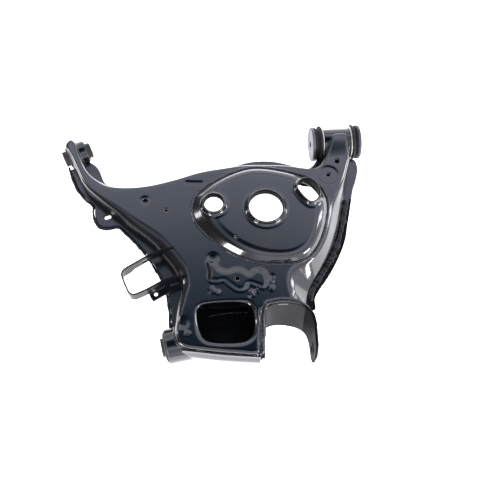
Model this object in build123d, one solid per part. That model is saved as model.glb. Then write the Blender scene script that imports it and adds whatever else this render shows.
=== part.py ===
from build123d import *
import math
import os

# Rear lower control arm, two pressed shells welded along a mid-height seam.
# Frame: origin at the middle of the front inboard bush, +X along that bush's
# bore (away from the arm), +Y inboard over the bush, +Z up. Millimetres.

# ---- driving dimensions -------------------------------------------------
SHEET = 3.5            # shell thickness
Z_TOP = 28.0           # plateau of the upper shell
Z_SEAM = -4.0          # top face of the lower shell's flange
Z_BOTTOM = -44.0       # underside of the lower shell
Z_SEAT = 44.0          # top of the spring seat
COLLAR_H = 9.0         # height of the rolled collars above the seat
RUN = 0.05             # radial running clearance, sleeve in rubber

FRONT_TUBE_R, FRONT_TUBE_IN = 25.5, 23.0
FRONT_X0, FRONT_X1 = -25.0, 27.0
FRONT_DISC_R = 33.0
FRONT_SLEEVE_R, BOLT_R = 11.0, 6.25

REAR_C = (-493.7, 5.5, 0.0)
REAR_AX = (0.9331, 0.3596, 0.0)
REAR_TUBE_R, REAR_TUBE_IN, REAR_TUBE_L = 23.0, 20.5, 32.0
REAR_SLEEVE_R, REAR_SLEEVE_L = 14.5, 54.0

KN_C = (-321.5, -376.5, -8.0)
KN_AX = (-0.9903, -0.1392, 0.0)      # points out of the box
KN_TUBE_R, KN_TUBE_IN = 31.0, 27.5
KN_TUBE_L = 44.0
KN_SLEEVE_R, KN_BOLT_R, KN_SLEEVE_L = 16.0, 7.0, 62.0

FORK_BOLT_Y, FORK_BOLT_Z, FORK_BOLT_R = -402.0, -14.0, 6.5
BIG_C, BIG_R = (-153.0, -152.5), 30.6
LEFT_C, LEFT_R = (-245.6, -139.5), 17.2

# ---- outlines ------------------------------------------------------------
# edge of the upper shell's plateau
PU = [(-512.2, 15.1), (-499.1, -20.8), (-489.8, -45.4), (-481.5, -66.3), (-471.5, -83.1), (-458.1, -97.8),
      (-440.3, -115.9), (-422.6, -132.2), (-396.5, -158.9), (-372.7, -180.3), (-353.6, -200.4), (-335.5, -227.6),
      (-319.6, -254.3), (-313.2, -278.1), (-315.0, -299.7), (-318.6, -322.8), (-323.2, -347.3), (-327.2, -371.3),
      (-323.3, -382.8), (-313.0, -390.4), (-281.9, -397.9), (-250.7, -403.8), (-216.2, -409.0), (-198.2, -411.6),
      (-189.0, -409.6), (-185.0, -386.4), (-181.1, -358.7), (-178.0, -337.4), (-166.0, -330.4), (-143.6, -328.3),
      (-128.2, -329.1), (-120.4, -329.5), (-120.3, -314.0), (-121.8, -297.4), (-120.6, -282.6), (-115.7, -268.0),
      (-105.3, -257.6), (-88.7, -252.0), (-72.1, -239.7), (-57.1, -221.4), (-45.9, -199.6), (-37.8, -174.2),
      (-29.5, -148.3), (-15.6, -122.4), (-1.7, -98.1), (8.8, -72.1), (17.3, -47.7), (20.2, -23.7),
      (20.9, 2.0), (6.8, 5.4), (-8.1, 2.7), (-17.3, -21.3), (-27.0, -42.7), (-38.0, -60.5),
      (-51.3, -67.8), (-65.6, -66.8), (-89.4, -61.0), (-115.4, -57.1), (-137.8, -55.2), (-182.6, -52.8),
      (-220.3, -56.0), (-265.3, -61.6), (-314.0, -74.3), (-362.0, -83.6), (-398.4, -84.9), (-425.5, -81.3),
      (-441.7, -74.4), (-453.4, -66.9), (-464.7, -57.0), (-476.1, -41.0), (-482.9, -24.6), (-490.0, -2.6),
      (-495.5, 18.0), (-503.2, 24.6)]
# foot of the upper shell's wall on the flange, one point per point of PU
FU = [(-515.5, 14.5), (-502.5, -21.5), (-493.5, -47.0), (-485.5, -68.5), (-475.0, -86.0), (-461.0, -101.5),
      (-443.5, -119.5), (-426.0, -136.0), (-400.0, -162.5), (-376.5, -184.0), (-358.0, -204.0), (-340.5, -230.0),
      (-325.0, -256.0), (-319.0, -278.5), (-320.5, -299.0), (-324.0, -322.0), (-328.0, -346.5), (-331.5, -371.5),
      (-327.0, -385.0), (-314.5, -393.5), (-282.5, -400.9), (-251.2, -406.8), (-216.6, -412.0), (-197.6, -414.8),
      (-186.7, -412.0), (-183.4, -386.6), (-179.5, -359.0), (-176.5, -338.9), (-165.6, -332.4), (-143.6, -330.5),
      (-128.0, -331.0), (-94.0, -331.5), (-92.0, -316.0), (-88.0, -300.0), (-82.0, -289.0), (-74.5, -278.0),
      (-64.0, -264.5), (-54.0, -252.0), (-43.0, -236.5), (-32.0, -218.0), (-23.5, -199.5), (-15.0, -176.0),
      (-7.5, -151.0), (1.5, -122.5), (10.5, -92.5), (18.0, -69.0), (24.0, -45.5), (26.4, -23.0),
      (26.4, 4.0), (6.5, 12.0), (-14.0, 4.0), (-24.5, -19.0), (-34.5, -37.0), (-44.0, -51.5),
      (-54.5, -58.0), (-66.0, -57.5), (-87.5, -52.0), (-114.5, -46.5), (-137.5, -44.5), (-182.5, -42.5),
      (-219.5, -46.0), (-263.5, -53.0), (-312.0, -67.0), (-361.0, -77.0), (-398.5, -78.5), (-423.5, -75.5),
      (-438.5, -69.0), (-449.5, -62.0), (-460.5, -53.0), (-471.5, -38.5), (-478.0, -22.5), (-485.0, -0.5),
      (-490.5, 20.0), (-503.0, 29.0)]
# flange of the lower shell
FL = [(-509.0, -18.0), (-501.4, -44.2), (-492.0, -68.2), (-477.2, -89.2), (-463.7, -104.8), (-463.1, -118.2),
      (-460.9, -132.6), (-454.3, -145.2), (-442.9, -150.4), (-432.0, -149.8), (-423.0, -148.5), (-415.8, -151.4),
      (-405.1, -162.7), (-387.6, -183.9), (-370.4, -207.7), (-355.4, -235.0), (-343.9, -258.7), (-337.7, -278.0),
      (-334.5, -300.6), (-332.8, -319.1), (-333.6, -346.0), (-336.0, -372.0), (-330.5, -387.5), (-315.5, -396.6),
      (-283.0, -404.0), (-251.6, -409.9), (-217.0, -415.1), (-197.0, -418.0), (-184.8, -415.0), (-181.4, -386.6),
      (-177.5, -359.4), (-174.8, -340.4), (-165.2, -334.4), (-143.6, -332.5), (-127.0, -333.0), (-92.0, -334.5),
      (-80.5, -333.0), (-78.6, -313.6), (-70.0, -299.6), (-53.7, -279.9), (-39.9, -261.6), (-25.0, -238.3),
      (-12.2, -214.4), (-4.6, -194.8), (0.3, -176.8), (7.7, -152.1), (15.3, -125.7), (22.1, -102.7),
      (32.2, -79.1), (38.4, -55.8), (36.0, -38.5), (30.5, -33.5), (24.0, -22.0), (-20.0, -14.0),
      (-32.5, -25.5), (-41.0, -36.5), (-49.5, -46.0), (-58.0, -50.5), (-68.0, -49.0), (-88.5, -41.5),
      (-117.5, -31.9), (-146.2, -28.2), (-173.4, -29.8), (-195.2, -35.2), (-222.9, -40.4), (-264.5, -46.5),
      (-312.0, -60.5), (-360.5, -70.5), (-398.5, -72.0), (-421.0, -69.0), (-435.5, -62.5), (-444.0, -56.0),
      (-448.4, -45.5), (-453.9, -29.0), (-462.3, -16.5), (-473.0, -8.5), (-483.0, 2.0), (-500.0, -4.0)]
# spring seat at the plateau
SEAT = [(-283.6, -130.0), (-283.3, -146.2), (-279.0, -164.5), (-267.8, -184.0), (-243.0, -210.1), (-221.3, -227.1),
        (-199.5, -240.1), (-173.9, -249.5), (-147.9, -253.8), (-116.1, -254.6), (-90.4, -249.1), (-69.4, -231.4),
        (-51.5, -200.1), (-42.5, -172.8), (-36.5, -146.8), (-37.3, -128.3), (-46.6, -107.8), (-61.2, -91.1),
        (-89.6, -77.5), (-119.5, -68.1), (-144.2, -62.8), (-167.5, -60.7), (-185.5, -62.8), (-200.9, -67.1),
        (-229.5, -78.9), (-254.4, -92.9), (-273.9, -110.2)]
# opening in the lower shell under the spring seat
LOWER_OPEN = [(-266.0, -95.0), (-263.0, -80.0), (-248.0, -71.0), (-222.0, -65.0), (-185.0, -59.0), (-145.0, -57.0),
              (-118.0, -60.0), (-97.0, -63.5), (-75.0, -65.9), (-39.2, -86.1), (-27.0, -105.0), (-27.0, -140.0),
              (-36.0, -176.0), (-55.0, -215.0), (-80.0, -240.0), (-120.0, -249.0), (-170.0, -246.0), (-215.0, -228.0),
              (-248.0, -204.0), (-268.0, -172.0), (-273.0, -130.0)]
WINDOW = [(-284.0, -382.0), (-288.0, -364.0), (-286.5, -338.0), (-279.0, -324.0), (-265.0, -319.0), (-238.0, -319.6),
          (-210.0, -323.0), (-197.0, -331.0), (-191.0, -347.0), (-190.5, -370.0), (-198.0, -384.0), (-214.0, -389.0),
          (-244.0, -387.5), (-270.0, -388.0)]
PEAR = [(-91.8, -115.7), (-84.3, -104.8), (-72.9, -101.5), (-62.6, -107.3), (-55.4, -120.2), (-54.6, -133.5),
        (-60.9, -144.2), (-70.5, -147.8), (-78.8, -141.0), (-87.2, -128.3)]
STRAP = [(-321.5, -211.5), (-338.1, -214.2), (-359.2, -220.8), (-412.6, -249.4), (-415.0, -253.5), (-400.5, -293.8),
         (-396.0, -297.2), (-370.1, -287.0), (-338.8, -270.9), (-301.8, -263.0)]
CLIP_LUG = [(-333.0, -262.0), (-352.0, -271.5), (-371.0, -279.5), (-366.5, -292.0), (-362.3, -299.0), (-345.0, -290.0),
            (-331.0, -284.0)]
FORK_TOP = [(-178.0, -336.4), (-162.6, -327.2), (-143.6, -324.5), (-126.0, -325.8), (-110.5, -330.6), (-98.5, -339.0),
            (-91.0, -349.5), (-88.6, -364.0), (-89.4, -384.0), (-91.5, -420.0)]
FORK_BOT = [(-172.0, -348.2), (-156.5, -343.8), (-143.6, -343.4), (-128.0, -345.8), (-112.5, -350.8), (-102.0, -357.6),
            (-95.6, -366.0), (-92.6, -377.0), (-91.4, -391.0), (-92.0, -420.0)]
FRONT_EDGE = [(-318.0, -398.0), (-283.1, -404.4), (-251.7, -410.3), (-217.1, -415.5), (-188.0, -419.3)]


# ---- helpers ---------------------------------------------------------------
def area2(pts):
    return sum(a[0] * b[1] - b[0] * a[1] for a, b in zip(pts, pts[1:] + pts[:1]))


def inset(pts, d):
    """Move each corner of a closed outline inwards by d (outwards if negative)."""
    s = 1.0 if area2(pts) > 0 else -1.0
    out = []
    n = len(pts)
    for i in range(n):
        a, b, c = pts[i - 1], pts[i], pts[(i + 1) % n]
        e1 = (b[0] - a[0], b[1] - a[1])
        e2 = (c[0] - b[0], c[1] - b[1])
        l1, l2 = math.hypot(*e1), math.hypot(*e2)
        n1 = (-e1[1] / l1 * s, e1[0] / l1 * s)
        n2 = (-e2[1] / l2 * s, e2[0] / l2 * s)
        m = (n1[0] + n2[0], n1[1] + n2[1])
        lm = math.hypot(*m)
        m = (m[0] / lm, m[1] / lm)
        k = min(1.3, 1.0 / max(0.3, m[0] * n1[0] + m[1] * n1[1]))
        out.append((b[0] + m[0] * d * k, b[1] + m[1] * d * k))
    return out


def face_at(pts, z):
    return make_face(Polyline(*[(x, y, z) for x, y in pts], close=True))


def prism(pts, z0, z1):
    return extrude(face_at(pts, z0), z1 - z0, dir=(0, 0, 1))


def frustum(p0, z0, p1, z1):
    return loft([face_at(p0, z0), face_at(p1, z1)], ruled=True)


def along(c, ax, t0, t1, r):
    """Cylinder on an axis through c, from t0 to t1 along ax."""
    p = Plane(origin=(c[0] + ax[0] * t0, c[1] + ax[1] * t0, c[2] + ax[2] * t0), z_dir=ax)
    return extrude(p * Circle(r), t1 - t0)


def tube(c, ax, t0, t1, r_out, r_in):
    return along(c, ax, t0, t1, r_out) - along(c, ax, t0 - 1, t1 + 1, r_in)


def solid_of(s):
    """Largest solid of a boolean result."""
    return max(s.solids(), key=lambda q: q.volume)


def ribbon(pts, half, z0, z1):
    """Open polyline thickened to a strip standing on edge."""
    left, right = [], []
    n = len(pts)
    for i in range(n):
        a = pts[max(0, i - 1)]
        c = pts[min(n - 1, i + 1)]
        b = pts[i]
        if 0 < i < n - 1:
            e1 = (b[0] - a[0], b[1] - a[1])
            e2 = (c[0] - b[0], c[1] - b[1])
            l1, l2 = math.hypot(*e1), math.hypot(*e2)
            t = (e1[0] / l1 + e2[0] / l2, e1[1] / l1 + e2[1] / l2)
            k = 1.0 / max(0.5, abs((t[0] * e1[0] + t[1] * e1[1]) / (math.hypot(*t) * l1)))
        else:
            t = (c[0] - a[0], c[1] - a[1])
            k = 1.0
        lt = math.hypot(*t)
        nx, ny = -t[1] / lt * half * k, t[0] / lt * half * k
        left.append((b[0] + nx, b[1] + ny))
        right.append((b[0] - nx, b[1] - ny))
    return prism(left + right[::-1], z0, z1)


X = (1, 0, 0)
O = (0, 0, 0)

front_block = along(O, X, FRONT_X0 - 40, FRONT_X1 + 40, FRONT_TUBE_R)
rear_block = along(REAR_C, REAR_AX, -60, 60, REAR_TUBE_R)
kn_block = along(KN_C, KN_AX, -KN_TUBE_L / 2 - 12, 60, KN_TUBE_R)
end_clear = [along(O, X, -70, FRONT_X0, 36.5), along(O, X, FRONT_X1, 75, 36.5)]   # room for flanges and end plates
blocks = [front_block, rear_block, kn_block] + end_clear

# ---- upper shell -----------------------------------------------------------
hat = frustum(FU, Z_SEAM, PU, Z_TOP)
hat_in = frustum(inset(FU, SHEET + 0.6), Z_SEAM - 0.01, inset(PU, SHEET + 0.6), Z_TOP - SHEET)
upper = hat - hat_in
seat_hole = inset(SEAT, 12)
upper -= prism(seat_hole, Z_TOP - 12, Z_TOP + 5)
upper -= prism(WINDOW, Z_TOP - 12, Z_TOP + 5)
PILOTS = [(-368.2, -114.1, 4.2), (-331.3, -136.9, 2.6), (-7.3, -56.0, 4.5), (-27.5, -83.5, 3.2), (-214.4, -278.4, 4.0)]
for x, y, r in PILOTS:
    upper -= Pos(x, y, Z_TOP - 2) * Cylinder(r, 20)
for b in blocks:
    upper -= b
upper = solid_of(upper)

# ---- lower shell -----------------------------------------------------------
TU = inset(FU, 1.0)
TB = inset(FU, 6.0)
TU_IN, TB_IN = inset(FU, 1.0 + SHEET), inset(FU, 6.0 + SHEET)


def rise(dz):
    """Space below the legs' raised bottoms."""
    left = extrude(make_face(Polyline((-640, 300, -90), (-640, 300, -26 + dz), (-462, 300, -26 + dz),
                                      (-392, 300, Z_BOTTOM - 0.02 + dz), (-392, 300, -90), close=True)),
                   700, dir=(0, -1, 0))
    right = extrude(make_face(Polyline((-62, 100, -90), (-62, 100, -30 + dz), (-62, -46, -30 + dz),
                                       (-62, -112, Z_BOTTOM - 0.02 + dz), (-62, -112, -90), close=True)),
                    140, dir=(1, 0, 0))
    return left, right


tray = frustum(TU, Z_SEAM - 0.5, TB, Z_BOTTOM)
for w in rise(0.0):
    tray -= w
tray_in = frustum(TU_IN, Z_SEAM + 1, TB_IN, Z_BOTTOM + SHEET)
for w in rise(SHEET):
    tray_in -= w
lower = prism(FL, Z_SEAM - SHEET, Z_SEAM) + tray
lower -= tray_in
lower -= prism(LOWER_OPEN, Z_BOTTOM - 5, Z_BOTTOM + 10)
lower -= Pos(-439.4, -128.5, Z_SEAM) * Rot(0, 0, 15) * extrude(SlotOverall(12, 6.4), 20, both=True)
for x, y, r in [(-368.2, -96.0, 6.0), (-300.0, -262.0, 7.0), (-90.0, -275.0, 6.0)]:
    lower -= Pos(x, y, Z_BOTTOM) * Cylinder(r, 20)
for b in blocks:
    lower -= b
lower = solid_of(lower)

# ---- spring seat -------------------------------------------------------------
seat_top = inset(SEAT, 15)
seat = frustum(SEAT, Z_TOP, seat_top, Z_SEAT)
seat -= frustum(inset(SEAT, SHEET + 1.2), Z_TOP - 0.01, inset(SEAT, 15 + SHEET), Z_SEAT - SHEET)
pear_out = inset(PEAR, -3.0)
seat += Pos(*BIG_C, Z_SEAT - SHEET) * Cylinder(BIG_R + 3.2, COLLAR_H + SHEET, align=(Align.CENTER, Align.CENTER, Align.MIN))
seat += Pos(*LEFT_C, Z_SEAT - SHEET) * Cylinder(LEFT_R + 3.0, COLLAR_H - 1 + SHEET, align=(Align.CENTER, Align.CENTER, Align.MIN))
seat += prism(pear_out, Z_SEAT - SHEET, Z_SEAT + COLLAR_H - 1)
seat -= Pos(*BIG_C, Z_SEAT) * Cylinder(BIG_R, 60)
seat -= Pos(*LEFT_C, Z_SEAT) * Cylinder(LEFT_R, 60)
seat -= prism(PEAR, Z_SEAT - 20, Z_SEAT + 30)
seat -= Pos(-211.0, -205.5, Z_SEAT) * Cylinder(4.0, 20)
seat = solid_of(seat)

# ---- fork bracket ------------------------------------------------------------
def sheet_loft(top, bot, half, z0, z1):
    def strip(pts, z):
        left, right = [], []
        n = len(pts)
        for i in range(n):
            a, c = pts[max(0, i - 1)], pts[min(n - 1, i + 1)]
            t = (c[0] - a[0], c[1] - a[1])
            lt = math.hypot(*t)
            left.append((pts[i][0] - t[1] / lt * half, pts[i][1] + t[0] / lt * half))
            right.append((pts[i][0] + t[1] / lt * half, pts[i][1] - t[0] / lt * half))
        return face_at(left + right[::-1], z)
    return loft([strip(bot, z0), strip(top, z1)], ruled=True)


fork = sheet_loft(FORK_TOP, FORK_BOT, 2.5, -44.0, Z_TOP)
ear_trim = extrude(make_face(Polyline((-70, -430, -60), (-70, -430, 40), (-70, -408, 40), (-70, -414, 20),
                                      (-70, -421, 0), (-70, -424, -16), (-70, -420, -34), (-70, -411, -44.5),
                                      (-70, -405, -60), close=True)), 50, dir=(-1, 0, 0))
fork -= ear_trim
fork -= along((0, FORK_BOLT_Y, FORK_BOLT_Z), X, -120, -60, FORK_BOLT_R)
fork -= hat
fork -= prism(FL, Z_SEAM - SHEET, Z_SEAM)
fork -= tray
fork = solid_of(fork)

# ---- plates on and in the box --------------------------------------------------
INNER_EAR = [(-184.4, -418.0), (-180.9, -386.6), (-177.1, -359.4), (-176.2, -353.0),
             (-171.0, -353.0), (-171.9, -359.4), (-175.7, -386.6), (-179.2, -418.0)]
inner_ear = prism(INNER_EAR, -41.0, 20.0)
fork_bore = along((0, FORK_BOLT_Y, FORK_BOLT_Z), X, -205, -140, FORK_BOLT_R)
inner_ear -= fork_bore
inner_ear = solid_of(inner_ear)
lower = solid_of(lower - fork_bore)
upper = solid_of(upper - fork_bore)

front_plate = prism([(x, y) for x, y in FRONT_EDGE] + [(x, y - 3.0) for x, y in FRONT_EDGE[::-1]], -42.0, 19.0)
front_plate -= kn_block
front_plate = solid_of(front_plate)

cross_plate = prism([(-309.0, -313.0), (-309.0, -309.5), (-172.0, -309.5), (-172.0, -313.0)], Z_BOTTOM + SHEET, Z_TOP - SHEET)
cross_plate = cross_plate & frustum(TB_IN, Z_BOTTOM + SHEET, inset(PU, SHEET + 1.2), Z_TOP - SHEET)
for x in (-275.0, -205.0):
    cross_plate -= Pos(x, -311, -8) * Rot(90, 0, 0) * Cylinder(9, 30)
cross_plate -= kn_block
cross_plate = solid_of(cross_plate)

nut_c = (-190.8, FORK_BOLT_Y, FORK_BOLT_Z)
nut = extrude(Plane(origin=nut_c, z_dir=(-1, 0, 0)) * RegularPolygon(11.0, 6), 12) - along(nut_c, X, -20, 20, FORK_BOLT_R)
nut = solid_of(nut - lower)

# ---- front inboard bush -------------------------------------------------------
parts = {}
parts["front_bush_housing"] = tube(O, X, FRONT_X0, FRONT_X1, FRONT_TUBE_R, FRONT_TUBE_IN)
parts["front_bush_outer_sleeve_left"] = (tube(O, X, FRONT_X0, FRONT_X0 + 23, FRONT_TUBE_IN, 21.0)
                                         + tube(O, X, FRONT_X0 - 2, FRONT_X0, 32.5, 21.0))
parts["front_bush_outer_sleeve_right"] = (tube(O, X, FRONT_X1 - 23, FRONT_X1, FRONT_TUBE_IN, 21.0)
                                          + tube(O, X, FRONT_X1, FRONT_X1 + 2, 32.5, 21.0))


def bumper(x0, x1, face, back, flip):
    """Half bush: body in the sleeve and a waisted bumper against the end plate."""
    body = tube(O, X, min(x0, x1), max(x0, x1), 21.0, FRONT_SLEEVE_R + RUN)
    a, b = (face, back) if flip else (back, face)
    mid = (a + b) / 2
    prof = Polyline((a, FRONT_SLEEVE_R + RUN, 0), (a, 31.5, 0), (a + 2.0, 34.0, 0), (mid - 0.8, 31.0, 0),
                    (mid + 0.8, 31.0, 0), (b - 2.0, 34.0, 0), (b, 31.5, 0), (b, FRONT_SLEEVE_R + RUN, 0), close=True)
    return body + revolve(make_face(prof), axis=Axis.X)


parts["front_bush_rubber_left"] = bumper(FRONT_X0 - 2, FRONT_X0 + 23, FRONT_X0 - 16.2, FRONT_X0 - 2, True)
parts["front_bush_rubber_right"] = bumper(FRONT_X1 - 23, FRONT_X1 + 2, FRONT_X1 + 14.2, FRONT_X1 + 2, False)
XL, XR = -41.5, 41.5           # inner faces of the end plates
parts["front_bush_inner_sleeve"] = tube(O, X, XL, XR, FRONT_SLEEVE_R, BOLT_R)


def end_plate(x0, x1, outer):
    rim = 1.0
    a, b = min(x0, x1), max(x0, x1)
    prof = Polyline((a, BOLT_R, 0), (a, FRONT_DISC_R - rim, 0), (a + rim, FRONT_DISC_R, 0), (b - rim, FRONT_DISC_R, 0),
                    (b, FRONT_DISC_R - rim, 0), (b, BOLT_R, 0), close=True)
    return revolve(make_face(prof), axis=Axis.X)


parts["front_bush_end_plate_left"] = end_plate(XL - 5.5, XL, True)
parts["front_bush_end_plate_right"] = end_plate(XR, XR + 5.5, False)

# ---- rear inboard bush --------------------------------------------------------
h = REAR_TUBE_L / 2
parts["rear_bush_housing"] = tube(REAR_C, REAR_AX, -h, h, REAR_TUBE_R, REAR_TUBE_IN)
parts["rear_bush_outer_sleeve"] = tube(REAR_C, REAR_AX, -h - 1.5, h + 1.5, REAR_TUBE_IN, 19.0)
parts["rear_bush_rubber"] = tube(REAR_C, REAR_AX, -h - 3.0, h + 3.0, 19.0, REAR_SLEEVE_R + RUN)
parts["rear_bush_inner_sleeve"] = tube(REAR_C, REAR_AX, -REAR_SLEEVE_L / 2, REAR_SLEEVE_L / 2, REAR_SLEEVE_R, BOLT_R)

# ---- outboard (knuckle) bush --------------------------------------------------
h = KN_TUBE_L / 2
parts["knuckle_bush_housing"] = tube(KN_C, KN_AX, -h, h, KN_TUBE_R, KN_TUBE_IN)
parts["knuckle_bush_outer_sleeve"] = tube(KN_C, KN_AX, -h - 1.5, h + 1.5, KN_TUBE_IN, 25.5)
parts["knuckle_bush_rubber"] = tube(KN_C, KN_AX, -h - 4.5, h + 4.5, 25.5, KN_SLEEVE_R + RUN)
parts["knuckle_bush_inner_sleeve"] = tube(KN_C, KN_AX, -KN_SLEEVE_L / 2, KN_SLEEVE_L / 2, KN_SLEEVE_R, KN_BOLT_R)

# ---- strap bracket and clip lug -------------------------------------------------
strap = ribbon(STRAP, 1.4, 2.0, Z_TOP + 4.5)
strap -= hat
side = Plane(origin=(-372.0, -227.7, 18.0), x_dir=(0.882, 0.472, 0), z_dir=(0.472, -0.882, 0))
strap -= extrude(side * SlotOverall(14, 6), 12, both=True)
strap = solid_of(strap)

clip_lug = prism(CLIP_LUG, Z_SEAM, Z_SEAM + 4.0)
clip_lug -= hat
clip_lug -= strap
clip_lug -= Pos(-357.0, -286.0, Z_SEAM) * Cylinder(3.3, 20)
clip_lug = solid_of(clip_lug)

# ---- weld beads ---------------------------------------------------------------
seat_weld = prism(inset(SEAT, -3.5), Z_TOP, Z_TOP + 3.0) - prism(SEAT, Z_TOP - 1, Z_TOP + 4)
seat_weld = (seat_weld & prism(PU, Z_TOP - 1, Z_TOP + 6)) - strap
seat_weld = Compound(children=[s for s in seat_weld.solids() if s.volume > 8])

seam_weld = prism(inset(FU, -4.0), Z_SEAM, Z_SEAM + 3.0) & prism(inset(FL, 0.3), Z_SEAM - 1, Z_SEAM + 6)
seam_weld -= prism(FU, Z_SEAM - 1, Z_SEAM + 6)
for b in blocks + [fork, inner_ear, front_plate, clip_lug, strap]:
    seam_weld -= b
seam_weld = Compound(children=[s for s in seam_weld.solids() if s.volume > 25])

ft = [(x, y) for x, y in FORK_TOP[:8]]
fork_weld = ribbon([(x, y - 0.2) for x, y in ft[:4]] + ft[4:7], 4.5, Z_TOP, Z_TOP + 2.6)

# Each pressing is kept as five lengths that meet face to face.
ZONES = {
    "left_leg": [(-700, -215), (-268, -215), (-268, 300), (-700, 300)],
    "back_rail": [(-268, -150), (-75, -150), (-75, 300), (-268, 300)],
    "neck": [(-700, -300), (-75, -300), (-75, -150), (-268, -150), (-268, -215), (-700, -215)],
    "box_end": [(-700, -600), (-75, -600), (-75, -300), (-700, -300)],
    "right_leg": [(-75, -600), (300, -600), (300, 300), (-75, 300)],
}


def lengths(shell):
    out = {}
    for zone, pts in ZONES.items():
        cut = shell & prism(pts, -100, 100)
        out[zone] = Compound(children=[p for p in cut.solids() if p.volume > 20])
    return out


solids = {"upper_shell_" + k: v for k, v in lengths(upper).items()}
solids.update({"lower_shell_" + k: v for k, v in lengths(lower).items()})
solids.update({
    "spring_seat": seat, "fork_bracket": fork,
    "fork_inner_ear": inner_ear, "box_front_plate": front_plate, "box_cross_plate": cross_plate,
    "fork_weld_nut": nut, "strap_bracket": strap, "clip_lug": clip_lug,
    "seat_weld": seat_weld, "seam_weld": seam_weld, "fork_weld": fork_weld,
})


def ring_weld(c, ax, t0, t1, r, cutters, keep):
    """Partial fillet ring on a housing tube, kept only on one side."""
    w = tube(c, ax, t0, t1, r + 2.6, r)
    w = w & keep
    for q in cutters:
        w -= q
    return Compound(children=[s for s in w.solids() if s.volume > 20])


top_front = Pos(2, 6.0, 40) * Box(30, 9, 40)
solids["front_housing_weld"] = ring_weld(O, X, -12, 18, FRONT_TUBE_R, [upper, lower], top_front)
top_rear = Pos(-506, 30, 20) * Rot(0, 0, 21) * Box(24, 14, 40)
solids["rear_housing_weld"] = ring_weld(REAR_C, REAR_AX, -12, 10, REAR_TUBE_R, [upper, lower], top_rear)
kn_keep = prism([(-336.0, -340.0), (-326.0, -340.0), (-330.0, -420.0), (-340.0, -420.0)], -34.0, 27.0)
solids["knuckle_housing_weld"] = ring_weld(KN_C, KN_AX, 4, 16, KN_TUBE_R, [upper, lower, front_plate, seam_weld], kn_keep)

for n, s in parts.items():
    solids[n] = s

os.makedirs("parts", exist_ok=True)
for n, s in solids.items():
    export_step(s, "parts/" + n + ".step")
    print(n, round(s.volume, 1))
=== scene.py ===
import math
import bpy
import numpy as np
from mathutils import Matrix, Vector


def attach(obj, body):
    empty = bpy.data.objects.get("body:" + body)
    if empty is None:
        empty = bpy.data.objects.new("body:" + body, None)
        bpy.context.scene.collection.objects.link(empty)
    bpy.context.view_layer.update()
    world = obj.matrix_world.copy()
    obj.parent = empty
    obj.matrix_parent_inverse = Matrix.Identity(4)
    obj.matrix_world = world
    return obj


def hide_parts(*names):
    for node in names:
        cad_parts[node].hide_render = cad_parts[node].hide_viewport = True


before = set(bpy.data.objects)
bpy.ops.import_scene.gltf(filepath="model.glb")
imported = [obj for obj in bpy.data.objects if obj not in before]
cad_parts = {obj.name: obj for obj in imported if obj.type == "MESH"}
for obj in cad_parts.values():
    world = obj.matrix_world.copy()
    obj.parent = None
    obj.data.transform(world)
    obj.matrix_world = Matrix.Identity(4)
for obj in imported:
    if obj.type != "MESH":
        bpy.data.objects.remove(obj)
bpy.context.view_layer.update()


RNG = np.random.RandomState(7)

# ---------------------------------------------------------------- dimensions (mm)
SHEET = 3.5
Z_TOP, Z_SEAM, Z_BOTTOM, Z_SEAT = 28.0, -4.0, -44.0, 44.0
FRONT_X0, FRONT_X1 = -25.0, 27.0
REAR_C = np.array([-493.7, 5.5, 0.0])
REAR_AX = np.array([0.9331, 0.3596, 0.0])
KN_C = np.array([-321.5, -376.5, -8.0])
KN_AX = np.array([-0.9903, -0.1392, 0.0])
BIG_C, BIG_R = (-153.0, -152.5), 30.6
LEFT_C, LEFT_R = (-245.6, -139.5), 17.2
FORK_Y, FORK_Z = -402.0, -14.0

PU = [(-512.2, 15.1), (-499.1, -20.8), (-489.8, -45.4), (-481.5, -66.3), (-471.5, -83.1), (-458.1, -97.8),
      (-440.3, -115.9), (-422.6, -132.2), (-396.5, -158.9), (-372.7, -180.3), (-353.6, -200.4), (-335.5, -227.6),
      (-319.6, -254.3), (-313.2, -278.1), (-315.0, -299.7), (-318.6, -322.8), (-323.2, -347.3), (-327.2, -371.3),
      (-323.3, -382.8), (-313.0, -390.4), (-281.9, -397.9), (-250.7, -403.8), (-216.2, -409.0), (-198.2, -411.6),
      (-189.0, -409.6), (-185.0, -386.4), (-181.1, -358.7), (-178.0, -337.4), (-166.0, -330.4), (-143.6, -328.3),
      (-128.2, -329.1), (-120.4, -329.5), (-120.3, -314.0), (-121.8, -297.4), (-120.6, -282.6), (-115.7, -268.0),
      (-105.3, -257.6), (-88.7, -252.0), (-72.1, -239.7), (-57.1, -221.4), (-45.9, -199.6), (-37.8, -174.2),
      (-29.5, -148.3), (-15.6, -122.4), (-1.7, -98.1), (8.8, -72.1), (17.3, -47.7), (20.2, -23.7),
      (20.9, 2.0), (6.8, 5.4), (-8.1, 2.7), (-17.3, -21.3), (-27.0, -42.7), (-38.0, -60.5),
      (-51.3, -67.8), (-65.6, -66.8), (-89.4, -61.0), (-115.4, -57.1), (-137.8, -55.2), (-182.6, -52.8),
      (-220.3, -56.0), (-265.3, -61.6), (-314.0, -74.3), (-362.0, -83.6), (-398.4, -84.9), (-425.5, -81.3),
      (-441.7, -74.4), (-453.4, -66.9), (-464.7, -57.0), (-476.1, -41.0), (-482.9, -24.6), (-490.0, -2.6),
      (-495.5, 18.0), (-503.2, 24.6)]
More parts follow.
